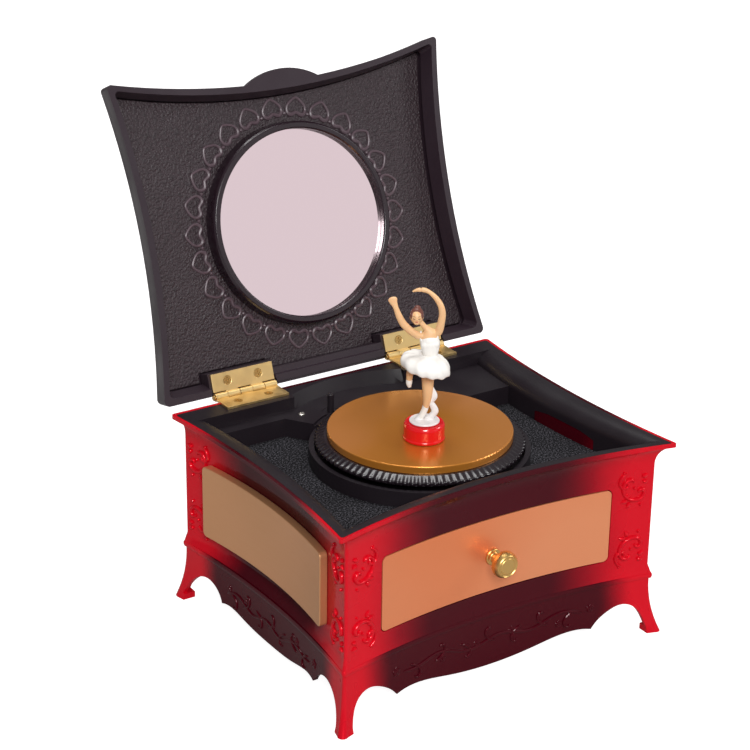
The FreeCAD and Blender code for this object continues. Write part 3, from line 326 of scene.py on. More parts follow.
def shaded(name, work, material, angle):
    """Smooth object from an edited mesh, with edges sharper than the angle in degrees kept sharp."""
    mesh = bpy.data.meshes.new(name)
    work.to_mesh(mesh)
    work.free()
    mesh.shade_smooth()
    mesh.set_sharp_from_angle(angle=math.radians(angle))
    mesh.materials.append(material)
    piece = bpy.data.objects.new(name, mesh)
    bpy.context.scene.collection.objects.link(piece)
    return piece


def add_mesh(name, points, faces, material, body, slot, angle=35.0):
    """Piece from points in millimetres and faces, every face turned outwards."""
    work = editable(np.asarray(points) * 0.001, np.asarray(faces))
    bmesh.ops.recalc_face_normals(work, faces=work.faces)
    piece = shaded(name, work, material, angle)
    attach(piece, body)
    return piece


def finished(cad_node, material, ease=0.25, angle=34.0):
    """Copy of a CAD piece with its triangles joined, flat areas cleaned and its edges eased."""
    source = frame["nodes"][cad_node]
    places = np.empty(len(source.data.vertices) * 3, np.float32)
    source.data.vertices.foreach_get("co", places)
    source.data.calc_loop_triangles()
    corners = np.empty(len(source.data.loop_triangles) * 3, np.int32)
    source.data.loop_triangles.foreach_get("vertices", corners)
    work = editable(places.reshape(-1, 3), corners.reshape(-1, 3))
    bmesh.ops.dissolve_limit(work, angle_limit=math.radians(0.5), verts=work.verts, edges=work.edges)
    piece = shaded(cad_node + "_finish", work, material, angle)
    if ease > 0:
        bevel = piece.modifiers.new("eased", "BEVEL")
        bevel.width = ease * 0.001
        bevel.segments = 2
        bevel.limit_method = "ANGLE"
        bevel.angle_limit = math.radians(angle)
        bevel.harden_normals = True
    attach(piece, source["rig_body"])
    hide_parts(cad_node)
    return piece


def box_mm(name):
    """Low corner, high corner and middle of a CAD piece, in millimetres."""
    low, high = (np.array(corner) * 1000 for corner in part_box(name))
    return low, high, (low + high) / 2


RED_WALLS = red_lacquer("red_lacquer_walls", 0.34, 0.82)
finished("case_shell", RED_WALLS, 0.35)


# ---- base frame --------------------------------------------------------------------------------
# One casting: bead, scalloped skirt and four flared legs. It has the same colouring as the walls, with
# the red kept closer to the legs.
RED_BASE = red_lacquer("red_lacquer_base", 0.62, 0.84)
finished("base_frame", RED_BASE, 0.35)


# ---- relief scrolls on the corner pilasters ----------------------------------------------------
# C-scrolls and leaves moulded on the walls beside each panel, standing under a millimetre proud.
# They are part of the same moulding as the walls and have the same colouring on them.
def grid_faces(rows, cols, closed=False):
    """Quads between the neighbours of a grid of points, always closed round its columns.

    With closed, the last row also joins the first.
    """
    i, j = np.meshgrid(np.arange(rows if closed else rows - 1), np.arange(cols), indexing="ij")
    a, b = i * cols + j, i * cols + (j + 1) % cols
    return np.stack([a, b, b + cols, a + cols], -1).reshape(-1, 4) % (rows * cols)


def set_back(half, corner, sag, along):
    """How far a face is set back at a distance along it from its middle.

    The face is a circular arc that ends one corner short of its half width. Its radius comes from
    the half chord and the sag: (chord^2 + sag^2) / (2 sag).
    """
    reach = half - corner
    radius = (reach ** 2 + sag ** 2) / (2 * sag)
    return sag - radius + np.sqrt(radius ** 2 - np.clip(np.abs(along), 0, half) ** 2)


def wall_front(section):
    """Front face of a section as a function of (across, height).

    A section is (half width, front, back, front sag, side sag, corner).
    """
    def surface(u, z):
        x_half, front, _, sag, _, corner = section(z)
        return np.stack([u, front + set_back(x_half, corner, sag, u), z], -1)
    return surface


def wall_side(section, side):
    """Side face of a section as a function of (distance from its middle, height); side is -1 or 1."""
    def surface(v, z):
        x_half, front, back, _, sag, corner = section(z)
        x = x_half - set_back((back - front) / 2, corner, sag, v)
        return np.stack([side * x, (back + front) / 2 + v, z], -1)
    return surface


def wall_section(z):
    """The walls keep one section up to the cornice."""
    return tuple(size + 0 * z for size in (74.2, -87.6, 37.9, 9.0, 8.0, 1.6))


def skirt_section(z):
    """The skirt blends from its top section to the feet by a power of 2.2 of the way down."""
    t = np.clip(1 - z / 24.2, 0, 1) ** 2.2
    top = (74.9, -88.1, 37.8, 8.8, 5.2, 1.6)
    foot = (79.7, -93.8, 42.0, 13.4, 9.1, 4.2)
    return tuple(a + (b - a) * t for a, b in zip(top, foot))


def lifted(surface, u, w, lift):
    """Points on a surface moved out along its normal, which comes from two small steps across it."""
    step = 0.05
    here = surface(u, w)
    along = surface(u + step, w) - here
    rise = surface(u, w + step) - here
    normal = np.cross(along, rise)
    normal /= np.linalg.norm(normal, axis=-1, keepdims=True)
    centre = np.array([0.0, -25.0, 0.0])
    outward = np.sign(np.sum(normal * ((here - centre) * [1, 1, 0]), -1, keepdims=True))
    return here + normal * outward * lift[..., None]


def ridge_rings(u, w, width, ring, closed=False):
    """Rings square to a path (u, w): places across the surface, and angles round each ring."""
    if closed:
        du, dw = (np.roll(line, -1) - np.roll(line, 1) for line in (u, w))
    else:
        du, dw = np.gradient(u), np.gradient(w)
    size = np.hypot(du, dw) + 1e-9
    phi = np.linspace(0, 2 * math.pi, ring, endpoint=False)
    side = width[:, None] * np.cos(phi)
    return u[:, None] - (dw / size)[:, None] * side, w[:, None] + (du / size)[:, None] * side, phi


def ridge(surface, u, w, width, height, sink=0.12, ring=10):
    """Closed rounded ridge that follows a path on a surface.

    Each ring is an oval: its width lies in the surface, square to the path, and its height along
    the normal. Width and height fade to a point at both ends.
    """
    ring_u, ring_w, phi = ridge_rings(u, w, width, ring)
    points = lifted(surface, ring_u, ring_w, height[:, None] * np.sin(phi) - sink)
    return points.reshape(-1, 3), grid_faces(len(u), ring)


def tapered(count, tip):
    """Share of full size along a path: rises over the first tip share as a quarter circle and falls so."""
    s = np.linspace(0, 1, count)
    near = np.clip(np.minimum(s, 1 - s) / tip, 0, 1)
    return np.sqrt(np.clip(1 - (1 - near) ** 2, 0, 1))


def scroll(length, bends, heading, count=46):
    """Flat curve, centred on its own middle.

    Its bend, in degrees per millimetre, goes evenly through the values in bends; the heading is the
    running sum of the bend, and the points are the running sum of the heading's cosine and sine.
    """
    s = np.linspace(0, 1, count)
    bend = np.interp(s, np.linspace(0, 1, len(bends)), bends)
    step = length / (count - 1)
    angle = np.radians(heading + np.cumsum(bend) * step)
    x, y = np.cumsum(np.cos(angle)) * step, np.cumsum(np.sin(angle)) * step
    return x - (x.max() + x.min()) / 2, y - (y.max() + y.min()) / 2


def joined(parts):
    """Several (points, faces) made one."""
    points, faces, first = [], [], 0
    for some_points, some_faces in parts:
        points.append(some_points)
        faces.append(some_faces + first)
        first += len(some_points)
    return np.concatenate(points), np.concatenate(faces)


def petal(surface, u, w, heading, length, width, height):
    """Short teardrop from (u, w) in a direction."""
    s = np.linspace(0, 1, 7)
    direction = math.radians(heading)
    shape = np.sin(np.pi * s ** 0.8)
    return ridge(surface, u + s * length * math.cos(direction), w + s * length * math.sin(direction),
                 width * shape, height * shape, ring=8)


def pilaster(surface, u, flip):
    """Upper and lower ornament of one pilaster: a C-scroll, a hooked leaf, petals and beads."""
    parts = []
    for z, up in ((66.0, 1), (39.5, -1)):
        cx, cz = scroll(27.0, (52, 20, 11, 9, 11, 24, 60), 25.0)
        full = tapered(len(cx), 0.12)
        parts.append(ridge(surface, u + flip * cx, z + up * cz, 0.8 * full, 0.95 * full))
        hx, hz = scroll(13.0, (8, 14, 26, 58), 200.0)
        full = tapered(len(hx), 0.2)
        parts.append(ridge(surface, u + flip * (hx - 4.4), z + up * (hz + 4.6), 0.7 * full, 0.85 * full))
        petals = ((150, -1.6, -3.4, 3.6), (195, -2.0, -4.4, 3.6), (240, -1.2, -5.4, 3.4),
                  (20, 3.2, 5.2, 3.0), (-25, 3.6, 3.6, 2.8))
        for heading, du, dz, length in petals:
            turned = heading if flip > 0 else 180 - heading
            parts.append(petal(surface, u + flip * du, z + up * dz, up * turned, length, 0.95, 0.95))
        for du, dz in ((0.4, 0.6), (-4.6, 8.0), (3.4, -7.2)):
            parts.append(petal(surface, u + flip * du - 0.7, z + up * dz, 0.0, 1.4, 0.7, 0.75))
    return parts


def pilaster_scrolls():
    """Ornaments on the two pilasters of the front and of each side."""
    faces = {
        "front": (wall_front(wall_section), ((-64.6, -1), (64.6, 1))),
        "left": (wall_side(wall_section, -1), ((-54.6, -1), (54.0, 1))),
        "right": (wall_side(wall_section, 1), ((-54.6, -1), (54.0, 1))),
    }
    for name, (surface, places) in faces.items():
        parts = []
        for u, flip in places:
            parts += pilaster(surface, u, flip)
        add_mesh("pilaster_scrolls_" + name, *joined(parts), RED_WALLS, "case", "red_lacquer")


pilaster_scrolls()


# ---- relief garland on the skirt ---------------------------------------------------------------
# A long wavy stem with curled tendrils and small five-petalled flowers, moulded on each skirt.
# It belongs to the base casting and has the same colouring.
def flower(surface, u, w, size):
    """Five petals round a bead."""
    parts = [petal(surface, u, w, 90 + 72 * k, size, 0.42 * size, 0.55) for k in range(5)]
    parts.append(petal(surface, u - 0.35 * size, w, 0.0, 0.7 * size, 0.35 * size, 0.8))
    return parts


def garland(surface, reach, flowers):
    """Stem whose height is a sum of two sines, tendrils on both sides, and flowers."""
    count, level = 150, 14.2
    u = np.linspace(-reach, reach, count)
    w = level + 1.5 * np.sin(u / reach * 3.0 * math.pi + 0.6) - 0.9 * np.cos(u / reach * math.pi)
    full = tapered(count, 0.05)
    parts = [ridge(surface, u, w, 0.7 * full, 0.65 * full)]
    for k, at in enumerate(np.linspace(-0.86, 0.86, 7)):
        up = 1 if k % 2 else -1
        cx, cz = scroll(11.5, (4, 9, 22, 60), 12.0)
        bit = tapered(len(cx), 0.2)
        flip = 1 if at < 0 else -1
        parts.append(ridge(surface, at * reach + flip * cx, level + up * (cz + 1.6), 0.65 * bit, 0.7 * bit))
    for at, height, size in flowers:
        parts += flower(surface, at, height, size)
    return parts


def skirt_garlands():
    front = garland(wall_front(skirt_section), 44.0,
                    ((-47.6, 15.4, 2.2), (-24.0, 12.4, 1.7), (-6.6, 14.0, 2.0), (10.5, 14.6, 2.1),
                     (32.7, 11.6, 1.8), (47.4, 15.4, 2.0)))
    add_mesh("skirt_garland_front", *joined(front), RED_BASE, "case", "red_lacquer")
    for name, side in (("left", -1), ("right", 1)):
        parts = garland(wall_side(skirt_section, side), 33.0,
                        ((-36.0, 15.4, 2.4), (-21.0, 17.4, 2.2), (-2.0, 15.2, 1.7), (19.0, 16.6, 2.2),
                         (31.0, 17.0, 1.8)))
        add_mesh("skirt_garland_" + name, *joined(parts), RED_BASE, "case", "red_lacquer")


skirt_garlands()


# ---- tray --------------------------------------------------------------------------------------
# Black moulded insert that fills the top of the case: coved sides, raised ledges at the back, the
# strip that the hinges sit on, and the round well of the turntable. Satin, faintly purple.
BLACK = moulded(new_material("black_plastic", rgb(30, 24, 29), 0.42, Specular_IOR_Level=0.35),
                0.40, 0.08, 1500.0)
finished("tray", BLACK, 0.0)


# ---- floor flocking ----------------------------------------------------------------------------
# Short dark fibres blown on a glued sheet, with paler fibres scattered through them.
# The sheet is glued down on the floor of the tray, round the well.
def flocked():
    """Speckle: fine noise above a threshold turns fibres pale; a second noise raises the pile."""
    material = new_material("flocking", rgb(50, 50, 52), 0.95, Specular_IOR_Level=0.1)
    tree, where = nodes_of(material)
    fibres = noise(tree, where, 1500.0, 3.0)
    speckle = ramp(tree, fibres.outputs[0], 0.46, rgb(12, 12, 14), 0.72, rgb(92, 90, 96))
    shade = varied(tree, noise(tree, where, 60.0), 0.8, 1.15)
    tone = node(tree, "VectorMath", [(0, speckle.outputs[0]), (1, shade.outputs[0])], operation="MULTIPLY")
    bump = node(tree, "Bump", [("Height", fibres.outputs[0])], in_0=0.8, in_1=0.0004)
    connect(material, Base_Color=tone.outputs[0], Normal=bump.outputs[0])
    return material


FLOCK = flocked()
finished("floor_flocking", FLOCK, 0.0)


# ---- gold panels -------------------------------------------------------------------------------
# Anodised aluminium sheet glued on the sides and on the drawer: satin, with a faint brushing along
# its length and a warm to pale drift of tone.
def gold_sheet(name, warm, pale, stretch):
    """Tone drifts between two colours by a slow noise; long thin noise gives brushing."""
    material = new_material(name, warm, 0.36, 0.6)
    tree, where = nodes_of(material)
    drift = ramp(tree, noise(tree, where, 9.0, 1.0).outputs[0], 0.35, warm, 0.65, pale)
    thin = node(tree, "Mapping", [(0, where)], in_3=stretch)
    brushed = noise(tree, thin.outputs[0], 1.0, 4.0)
    rough = varied(tree, brushed, 0.34, 0.44)
    bump = node(tree, "Bump", [("Height", brushed.outputs[0])], in_0=0.35, in_1=0.00003)
    connect(material, Base_Color=drift.outputs[0], Roughness=rough.outputs[0], Normal=bump.outputs[0])
    return material


SIDE_GOLD = gold_sheet("gold_side", rgb(218, 162, 116), rgb(200, 150, 102), (500.0, 30.0, 3000.0))
for panel in ("side_panel_left", "side_panel_right"):
    finished(panel, SIDE_GOLD, 0.45)
DRAWER_GOLD = gold_sheet("gold_drawer", rgb(238, 136, 86), rgb(244, 158, 112), (30.0, 500.0, 3000.0))
finished("drawer_face", DRAWER_GOLD, 0.5)


# ---- drawer ------------------------------------------------------------------------------------
# Black moulded drawer behind its gold face, with felt on its floor. It slides on a thin shelf
# between two rails.
DRAWER_PLASTIC = cast("drawer_plastic", rgb(40, 38, 42), 0.5, 0.08, 1200.0)
finished("drawer_box", DRAWER_PLASTIC, 0.3)
finished("drawer_guides", DRAWER_PLASTIC, 0.2)
finished("drawer_lining", FLOCK, 0.0)


# ---- knob --------------------------------------------------------------------------------------
# Turned and plated: a flange, a waist with a collar and a mushroom head with a flat, dished end.
# Brass-coloured metal, held by a screw from inside the drawer.
def plated(name, colour, roughness):
    return cast(name, colour, roughness, 0.07, 2200.0, 0.000008, 220.0, metallic=1.0)


BRASS = plated("brass", rgb(228, 188, 116), 0.34)


def turned_piece(profile, count=72):
    """Points and faces of a profile of (radius, height) carried round an axis."""
    r, z = np.array(profile, float).T
    a = np.linspace(0, 2 * math.pi, count, endpoint=False)
    points = np.stack([r[:, None] * np.cos(a), r[:, None] * np.sin(a), z[:, None] + 0 * a], -1)
    return points.reshape(-1, 3), grid_faces(len(r), count)


def rounded_profile(corners, steps=5):
    """Profile through corners, each corner inside it replaced by a quadratic curve.

    The curve runs between the points a third of the way along the two sides it joins.
    """
    corners = np.array(corners, float)
    out = [corners[:1]]
    t = np.linspace(0, 1, steps)[:, None]
    for before, corner, after in zip(corners, corners[1:], corners[2:]):
        a = corner + (before - corner) / 3
        b = corner + (after - corner) / 3
        out.append((1 - t) ** 2 * a + 2 * t * (1 - t) * corner + t ** 2 * b)
    out.append(corners[-1:])
    return np.concatenate(out)


def drawer_knob():
    _, high, middle = box_mm("drawer_knob")
    profile = rounded_profile([(0, 0.02), (3.5, 0.02), (3.5, 1.1), (2.1, 1.5), (1.8, 2.6), (2.5, 3.0),
                               (2.5, 3.9), (1.7, 4.2), (2.0, 5.0), (4.4, 5.7), (5.6, 7.0), (5.55, 8.8),
                               (4.9, 10.2), (4.4, 10.8), (4.0, 10.3), (3.4, 10.25), (3.2, 10.6), (0, 10.6)])
    points, quads = turned_piece(profile)
    placed = np.stack([points[:, 0] + middle[0], high[1] - points[:, 2], points[:, 1] + middle[2]], -1)
    knob = add_mesh("knob_turned", placed, quads, BRASS, "drawer", "brass")
    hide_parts("drawer_knob")


drawer_knob()


# ---- lid shell ---------------------------------------------------------------------------------
# Shallow black moulding that stands open behind the box, with a turned-in rim and a small finger
# lip in the middle of its front edge. It has a soft sheen.
LID_BLACK = moulded(new_material("black_lid", rgb(44, 32, 40), 0.38), 0.36, 0.08, 1500.0)
finished("lid_shell", LID_BLACK, 0.4)


# ---- lid liner ---------------------------------------------------------------------------------
# Vacuum-formed panel with a leather grain, and round the mirror a ring of hearts standing in relief.
# Black plastic sheet glued into the lid; the grain is pressed into it.
def leather():
    """Grain: cells of uneven size with soft valleys, over a slow drift of tone."""
    material = new_material("grained_liner", rgb(74, 62, 68), 0.5)
    tree, where = nodes_of(material)
    cells = node(tree, "TexVoronoi", [("Vector", where)], in_2=1000.0, feature="SMOOTH_F1")
    fine = noise(tree, where, 1400.0, 3.0)
    height = node(tree, "Math", [(0, cells.outputs["Distance"]), (1, fine.outputs[0])], operation="ADD")
    tone = ramp(tree, cells.outputs["Distance"], 0.0, rgb(54, 39, 45), 1.0, rgb(28, 18, 23))
    rough = varied(tree, noise(tree, where, 30.0), 0.42, 0.56)
    bump = node(tree, "Bump", [("Height", height.outputs[0])], in_0=0.8, in_1=0.0005)
    connect(material, Base_Color=tone.outputs[0], Roughness=rough.outputs[0], Normal=bump.outputs[0])
    return material


LINER = leather()
finished("lid_liner", LINER, 0.4)

LID_OPEN = math.radians(109.2)      # from shut to resting open


def swung(points):
    """Points of the shut lid turned about the hinge axis to where it rests open."""
    _, axis_y, axis_z = box_mm("hinge_pins")[2]
    y, z = points[:, 1] - axis_y, points[:, 2] - axis_z
    c, s = math.cos(-LID_OPEN), math.sin(-LID_OPEN)
    return np.stack([points[:, 0], axis_y + y * c - z * s, axis_z + y * s + z * c], -1)


MIRROR_PLACE = (0.0, -23.8)     # middle of the mirror on the shut lid
LINER_FACE = 95.2               # height of the liner's face on the shut lid


def face_ridge(u, w, width, height, ring=8, closed=False, sink=0.1):
    """Rounded ridge on the liner, hanging down from it while the lid is shut."""
    x, y, phi = ridge_rings(u, w, width, ring, closed)
    z = LINER_FACE - height[:, None] * np.sin(phi) + sink
    return np.stack([x, y, z], -1).reshape(-1, 3), grid_faces(len(u), ring, closed)


def heart_ring():
    """Twenty-six heart outlines, soft points outward, joined by beads near the mirror.

    A heart is an oval of (across, along); the side toward the mirror is pressed in by one bell curve
    of the angle, and the other side is drawn out by a second. Its ridge is wider and higher on the
    lobes than at the point.
    """
    count, bead = 26, 47.0      # number of hearts, and how far the beads are from the middle
    t = np.linspace(-math.pi, math.pi, 56, endpoint=False)
    across = 4.5 * np.sin(t) * (1 + 0.12 * np.cos(t))
    along = 49.0 - 3.7 * np.cos(t) + 1.9 * np.exp(-(t / 0.42) ** 2)
    along += 0.9 * np.exp(-((np.abs(t) - math.pi) / 0.5) ** 2)
    size = 0.62 + 0.5 * np.clip((48.5 - along) / 3.0, 0, 1)
    parts = []
    for k in range(count):
        a = 2 * math.pi * (k + 0.25) / count
        out, turn = np.array([math.cos(a), math.sin(a)]), np.array([-math.sin(a), math.cos(a)])
        u = MIRROR_PLACE[0] + along * out[0] + across * turn[0]
        w = MIRROR_PLACE[1] + along * out[1] + across * turn[1]
        parts.append(face_ridge(u, w, size, size * 1.2, closed=True))
        b = a + math.pi / count
        s = np.linspace(-1, 1, 9)
        bead_u = MIRROR_PLACE[0] + (bead + s * 0.9) * math.cos(b)
        bead_w = MIRROR_PLACE[1] + (bead + s * 0.9) * math.sin(b)
        shape = np.sqrt(np.clip(1 - s ** 2, 0, 1))
        parts.append(face_ridge(bead_u, bead_w, 0.9 * shape, 1.0 * shape))
    points, quads = joined(parts)
    add_mesh("liner_hearts", swung(points), quads, HEART_BLACK, "lid", "grained_liner")


HEART_BLACK = cast("heart_relief", rgb(84, 68, 75), 0.38, 0.06)
heart_ring()


# ---- mirror and bezel --------------------------------------------------------------------------
# Round glass mirror, faintly rosy, pressed by a foam pad into a glossy black moulded ring.
# The ring is fixed on the liner and holds the glass by its edge.
BEZEL = cast("black_gloss", rgb(30, 14, 24), 0.26, Coat_Weight=0.25)
finished("mirror_bezel", BEZEL, 0.2)


def silvered():
    """Silver behind glass: a very faint haze drifts over it."""
    material = new_material("mirror_glass", rgb(244, 222, 228), 0.03, 1.0)
    tree, where = nodes_of(material)
    rough = varied(tree, noise(tree, where, 25.0), 0.01, 0.05)
    connect(material, Roughness=rough.outputs[0])
    return material


finished("mirror", silvered(), 0.1)
FOAM = moulded(new_material("foam", rgb(120, 118, 112), 0.95), 0.9, 0.05, 2500.0, 0.0001)
finished("mirror_backing", FOAM, 0.0)


# ---- hinges and their screws -------------------------------------------------------------------
# Two small brass-plated butt hinges with five knuckles, and cross-head screws through each leaf.
# One leaf is screwed to the strip at the back of the tray and the other to the lid.
LEAF_BRASS = plated("leaf_brass", rgb(246, 214, 150), 0.42)
for part in ("case", "lid"):
    for side in ("left", "right"):
        finished(f"hinge_{side}_{part}_leaf", LEAF_BRASS, 0.15)
STEEL = plated("screw_steel", rgb(190, 186, 178), 0.3)
SCREW_BRASS = plated("screw_brass", rgb(206, 168, 104), 0.3)
finished("hinge_pins", SCREW_BRASS, 0.1)
for screws in ("hinge_case_screws", "hinge_lid_screws"):
    finished(screws, SCREW_BRASS, 0.06)


# ---- turntable disk ----------------------------------------------------------------------------
# Gold anodised disk with a bright rounded top edge and a face brushed so finely that it is satin.
# It lies fixed on the ribbed plate, and the figure's magnet holds on to it.
def brushed_disk():
    """A slow noise drifts the colour between two golds, a painted reflection of the surroundings over the
    disk's own gold; very fine noise drawn out one way varies the gloss.
    """
    material = new_material("gold_disk", rgb(206, 140, 72), 0.3, 0.55)
    tree, where = nodes_of(material)
    slow = noise(tree, where, 14.0, 1.0)
    # Painted reflection: the drift between these two golds stands in for the surroundings seen in the disk.
    tone = ramp(tree, slow.outputs[0], 0.35, rgb(206, 132, 50), 0.65, rgb(226, 150, 88))
    thin = node(tree, "Mapping", [(0, where)], in_2=(0.0, 0.0, 0.7), in_3=(9000.0, 60.0, 100.0))
    brushed = noise(tree, thin.outputs[0], 1.0, 3.0)
    connect(material, Base_Color=tone.outputs[0], Roughness=varied(tree, brushed, 0.24, 0.27).outputs[0])
    return material


finished("turntable_disk", brushed_disk(), 0.35)


# ---- ribbed plate ------------------------------------------------------------------------------
# Black moulded plate under the disk. Its sloping edge has ninety fine ribs that end in round noses.
# It turns in the well of the tray and carries the disk.
def ribbed_plate():
    """Profile carried round the axis.

    On the slope the height gains a rib, a raised cosine of ninety turns round, and the nose of each
    rib stands out by the same wave.
    """
    ribs = 90
    low, high, centre = box_mm("turntable_plate")
    bottom, top, radius = low[2], high[2], (high[0] - low[0]) / 2
    rows = [(3.0, bottom, 0, 0), (radius - 1.4, bottom, 0, 0), (radius - 0.9, bottom + 0.5, 0, 0)]
    for k in range(7):
        a = math.pi * (k / 6 - 0.5)
        rows.append((radius - 0.95 + 0.15 * math.cos(a), bottom + 1.3 + 0.75 * math.sin(a),
                     0.9 * math.cos(a), 0.35 * (1 + math.sin(a)) / 2))
    for k in range(1, 8):
        s = k / 7
        rows.append((radius - 1.1 - (radius - 39.0 - 1.1) * s,
                     bottom + 2.05 + (top - 0.55 - bottom - 2.05) * s, 0, 0.42 * (1 - 0.75 * s)))
    rows += [(38.6, top - 0.5, 0, 0), (38.15, top - 0.5, 0, 0), (38.1, top - 0.75, 0, 0),
             (3.0, top - 0.75, 0, 0), (3.0, bottom, 0, 0)]
    r, z, push, lift = np.array(rows).T
    a = np.linspace(0, 2 * math.pi, ribs * 8, endpoint=False)
    wave = (1 + np.cos(ribs * a)) / 2
    radii = r[:, None] + push[:, None] * wave
    heights = z[:, None] + lift[:, None] * wave
    points = np.stack([centre[0] + radii * np.cos(a), centre[1] + radii * np.sin(a), heights], -1)
    piece = add_mesh("ribbed_plate", points.reshape(-1, 3), grid_faces(len(r), len(a)), RIB_BLACK,
                     "turntable", "black_gloss", 50.0)
    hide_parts("turntable_plate")


RIB_BLACK = cast("rib_black", rgb(26, 18, 24), 0.3, Coat_Weight=0.3)
ribbed_plate()


# ---- dancer base -------------------------------------------------------------------------------
# Glossy red cup that hides the magnet, holding the figure on the metal disk.
# Moulded plastic; it stands loose on the disk and the stand is glued on its top.
def red_cup():
    slimmer = 0.45      # than the collar of the CAD piece
    low, high, middle = box_mm("dancer_base")
    bottom, top, radius = low[2], high[2], (high[0] - low[0]) / 2 - slimmer
    profile = rounded_profile([(0, bottom + 0.9), (6.6, bottom + 0.9), (6.9, bottom),
                               (radius - 0.2, bottom), (radius, bottom + 0.8), (radius, bottom + 1.0),
                               (radius - 0.25, bottom + 1.4), (radius - 0.2, top - 1.0),
                               (radius - 0.9, top), (7.2, top), (7.0, top - 0.12), (0, top - 0.12)], 4)
    points, quads = turned_piece(profile, 96)
    cup = add_mesh("red_cup", points + middle * [1, 1, 0], quads, RED_CUP, "dancer", "red_plastic")
    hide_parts("dancer_base")


RED_CUP = cast("red_plastic", rgb(226, 14, 24), 0.2, Coat_Weight=0.5)
red_cup()


# ---- dancer's stand ----------------------------------------------------------------------------
# White moulded disc on the cup, and a wavy ribbon of the same plastic that steadies the leg.
# The plastic is slightly milky, and is glued to the cup and to the foot.
FIGURE = box_mm("dancer_base")[2] * [1, 1, 0]
TO_RIGHT = np.array([0.835, -0.55, 0.0])        # the figure's right and front, which is turned
TO_FRONT = np.array([-0.55, -0.835, 0.0])       # to look at the box's front left corner


def figure_place(points):
    """(right, front, height) of the figure turned into the box's frame."""
    points = np.atleast_2d(np.asarray(points, float))
    return FIGURE + points[:, :1] * TO_RIGHT + points[:, 1:2] * TO_FRONT + points[:, 2:3] * [0, 0, 1]


def smooth_path(knots, count):
    """Curve through knots: on each span the cubic whose slope at a knot is half the step past it."""
    knots = np.asarray(knots, float)
    padded = np.concatenate([2 * knots[:1] - knots[1:2], knots, 2 * knots[-1:] - knots[-2:-1]])
    t = np.linspace(0, len(knots) - 1, count)
    k = np.minimum(t.astype(int), len(knots) - 2)
    f = (t - k)[:, None]
    a, b, c, d = padded[k], padded[k + 1], padded[k + 2], padded[k + 3]
    return b + 0.5 * f * (c - a + f * (2 * a - 5 * b + 4 * c - d + f * (3 * (b - c) + d - a)))


def limb(knots, count=36, ring=20):
    """Closed rod through knots of (right, front, height, half width, half depth).

    The ring stands square to the path; its width points to the right as far as the path allows.
    Both ends are closed by half ovals.
    """
    knots = np.asarray(knots, float)
    line = smooth_path(knots, count)
    path, size = line[:, :3], line[:, 3:5]
    along = np.gradient(path, axis=0)
    along /= np.linalg.norm(along, axis=1, keepdims=True)
    side = np.cross(np.cross(along, [1.0, 0.0, 0.02]), along)
    side /= np.linalg.norm(side, axis=1, keepdims=True)
    depth = np.cross(along, side)
    cap = np.linspace(0, math.pi / 2, 7)[:, None]
    reach = along * size.mean(1, keepdims=True)
    centre = np.concatenate([path[0] - reach[0] * np.cos(cap), path[1:-1],
                             path[-1] + reach[-1] * np.cos(cap[::-1])])
    size = np.concatenate([size[0] * np.sin(cap), size[1:-1], size[-1] * np.sin(cap[::-1])])
    side, depth = (np.pad(ways, ((6, 6), (0, 0)), mode="edge") for ways in (side, depth))
    a = np.linspace(0, 2 * math.pi, ring, endpoint=False)
    points = (centre[:, None] + side[:, None] * (size[:, :1] * np.cos(a))[..., None]
              + depth[:, None] * (size[:, 1:] * np.sin(a))[..., None])
    return figure_place(points.reshape(-1, 3)), grid_faces(len(centre), ring)


def fused(piece, voxel, smooth=4):
    """Melts a piece's overlapping rods into one skin of small quads, then relaxes it."""
    remesh = piece.modifiers.new("fused", "REMESH")
    remesh.mode = "VOXEL"
    remesh.voxel_size = voxel * 0.001
    remesh.use_smooth_shade = True
    relax = piece.modifiers.new("relaxed", "SMOOTH")
    relax.factor = 0.5
    relax.iterations = smooth
    return piece


MILKY = cast("milky_plastic", rgb(240, 236, 234), 0.28, Subsurface_Weight=0.2,
             Subsurface_Radius=(0.002, 0.002, 0.002))


def stand():
    seat = box_mm("dancer_stand")[0][2]
    disc_points, disc_quads = turned_piece(rounded_profile(
        [(0, seat), (6.1, seat), (6.2, seat + 0.5), (5.9, seat + 1.0), (0, seat + 1.05)], 4), 72)
    ribbon = limb([(1.6, 0.0, 94.6, 1.6, 1.1), (2.5, 0.0, 95.8, 1.3, 1.1), (3.8, 0.0, 97.4, 1.4, 1.1),
                   (4.1, 0.0, 98.6, 1.5, 1.1), (3.2, 0.0, 100.6, 1.3, 1.0), (2.2, 0.0, 102.1, 1.15, 1.0),
                   (3.0, 0.0, 103.6, 1.5, 1.0), (3.4, 0.0, 104.9, 1.65, 1.0), (2.8, 0.0, 106.8, 1.4, 0.9),
                   (2.1, 0.0, 108.6, 1.15, 0.9)], 60)
    inner = limb([(-2.2, 0.2, 94.6, 1.7, 1.2), (-1.4, 0.1, 96.2, 1.2, 1.0),
                  (-0.4, 0.2, 98.6, 0.8, 0.8)], 16)
    rods = joined([(disc_points + FIGURE, disc_quads), ribbon, inner])
    piece = add_mesh("stand_ribbon", *rods, MILKY, "dancer", "clear_plastic")
    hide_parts("dancer_stand")
    fused(piece, 0.25, 3)


stand()


# ---- dancer's figure ---------------------------------------------------------------------------
# Small moulded doll on the tip of one foot, the other foot raised behind her, arms over her head.
# The skin is matt; the bodice, shoes and hair are painted parts of the same moulding.
def figure_paint(name, colour, roughness, **more):
    return cast(name, colour, roughness, 0.06, 1200.0, 0.00001, **more)


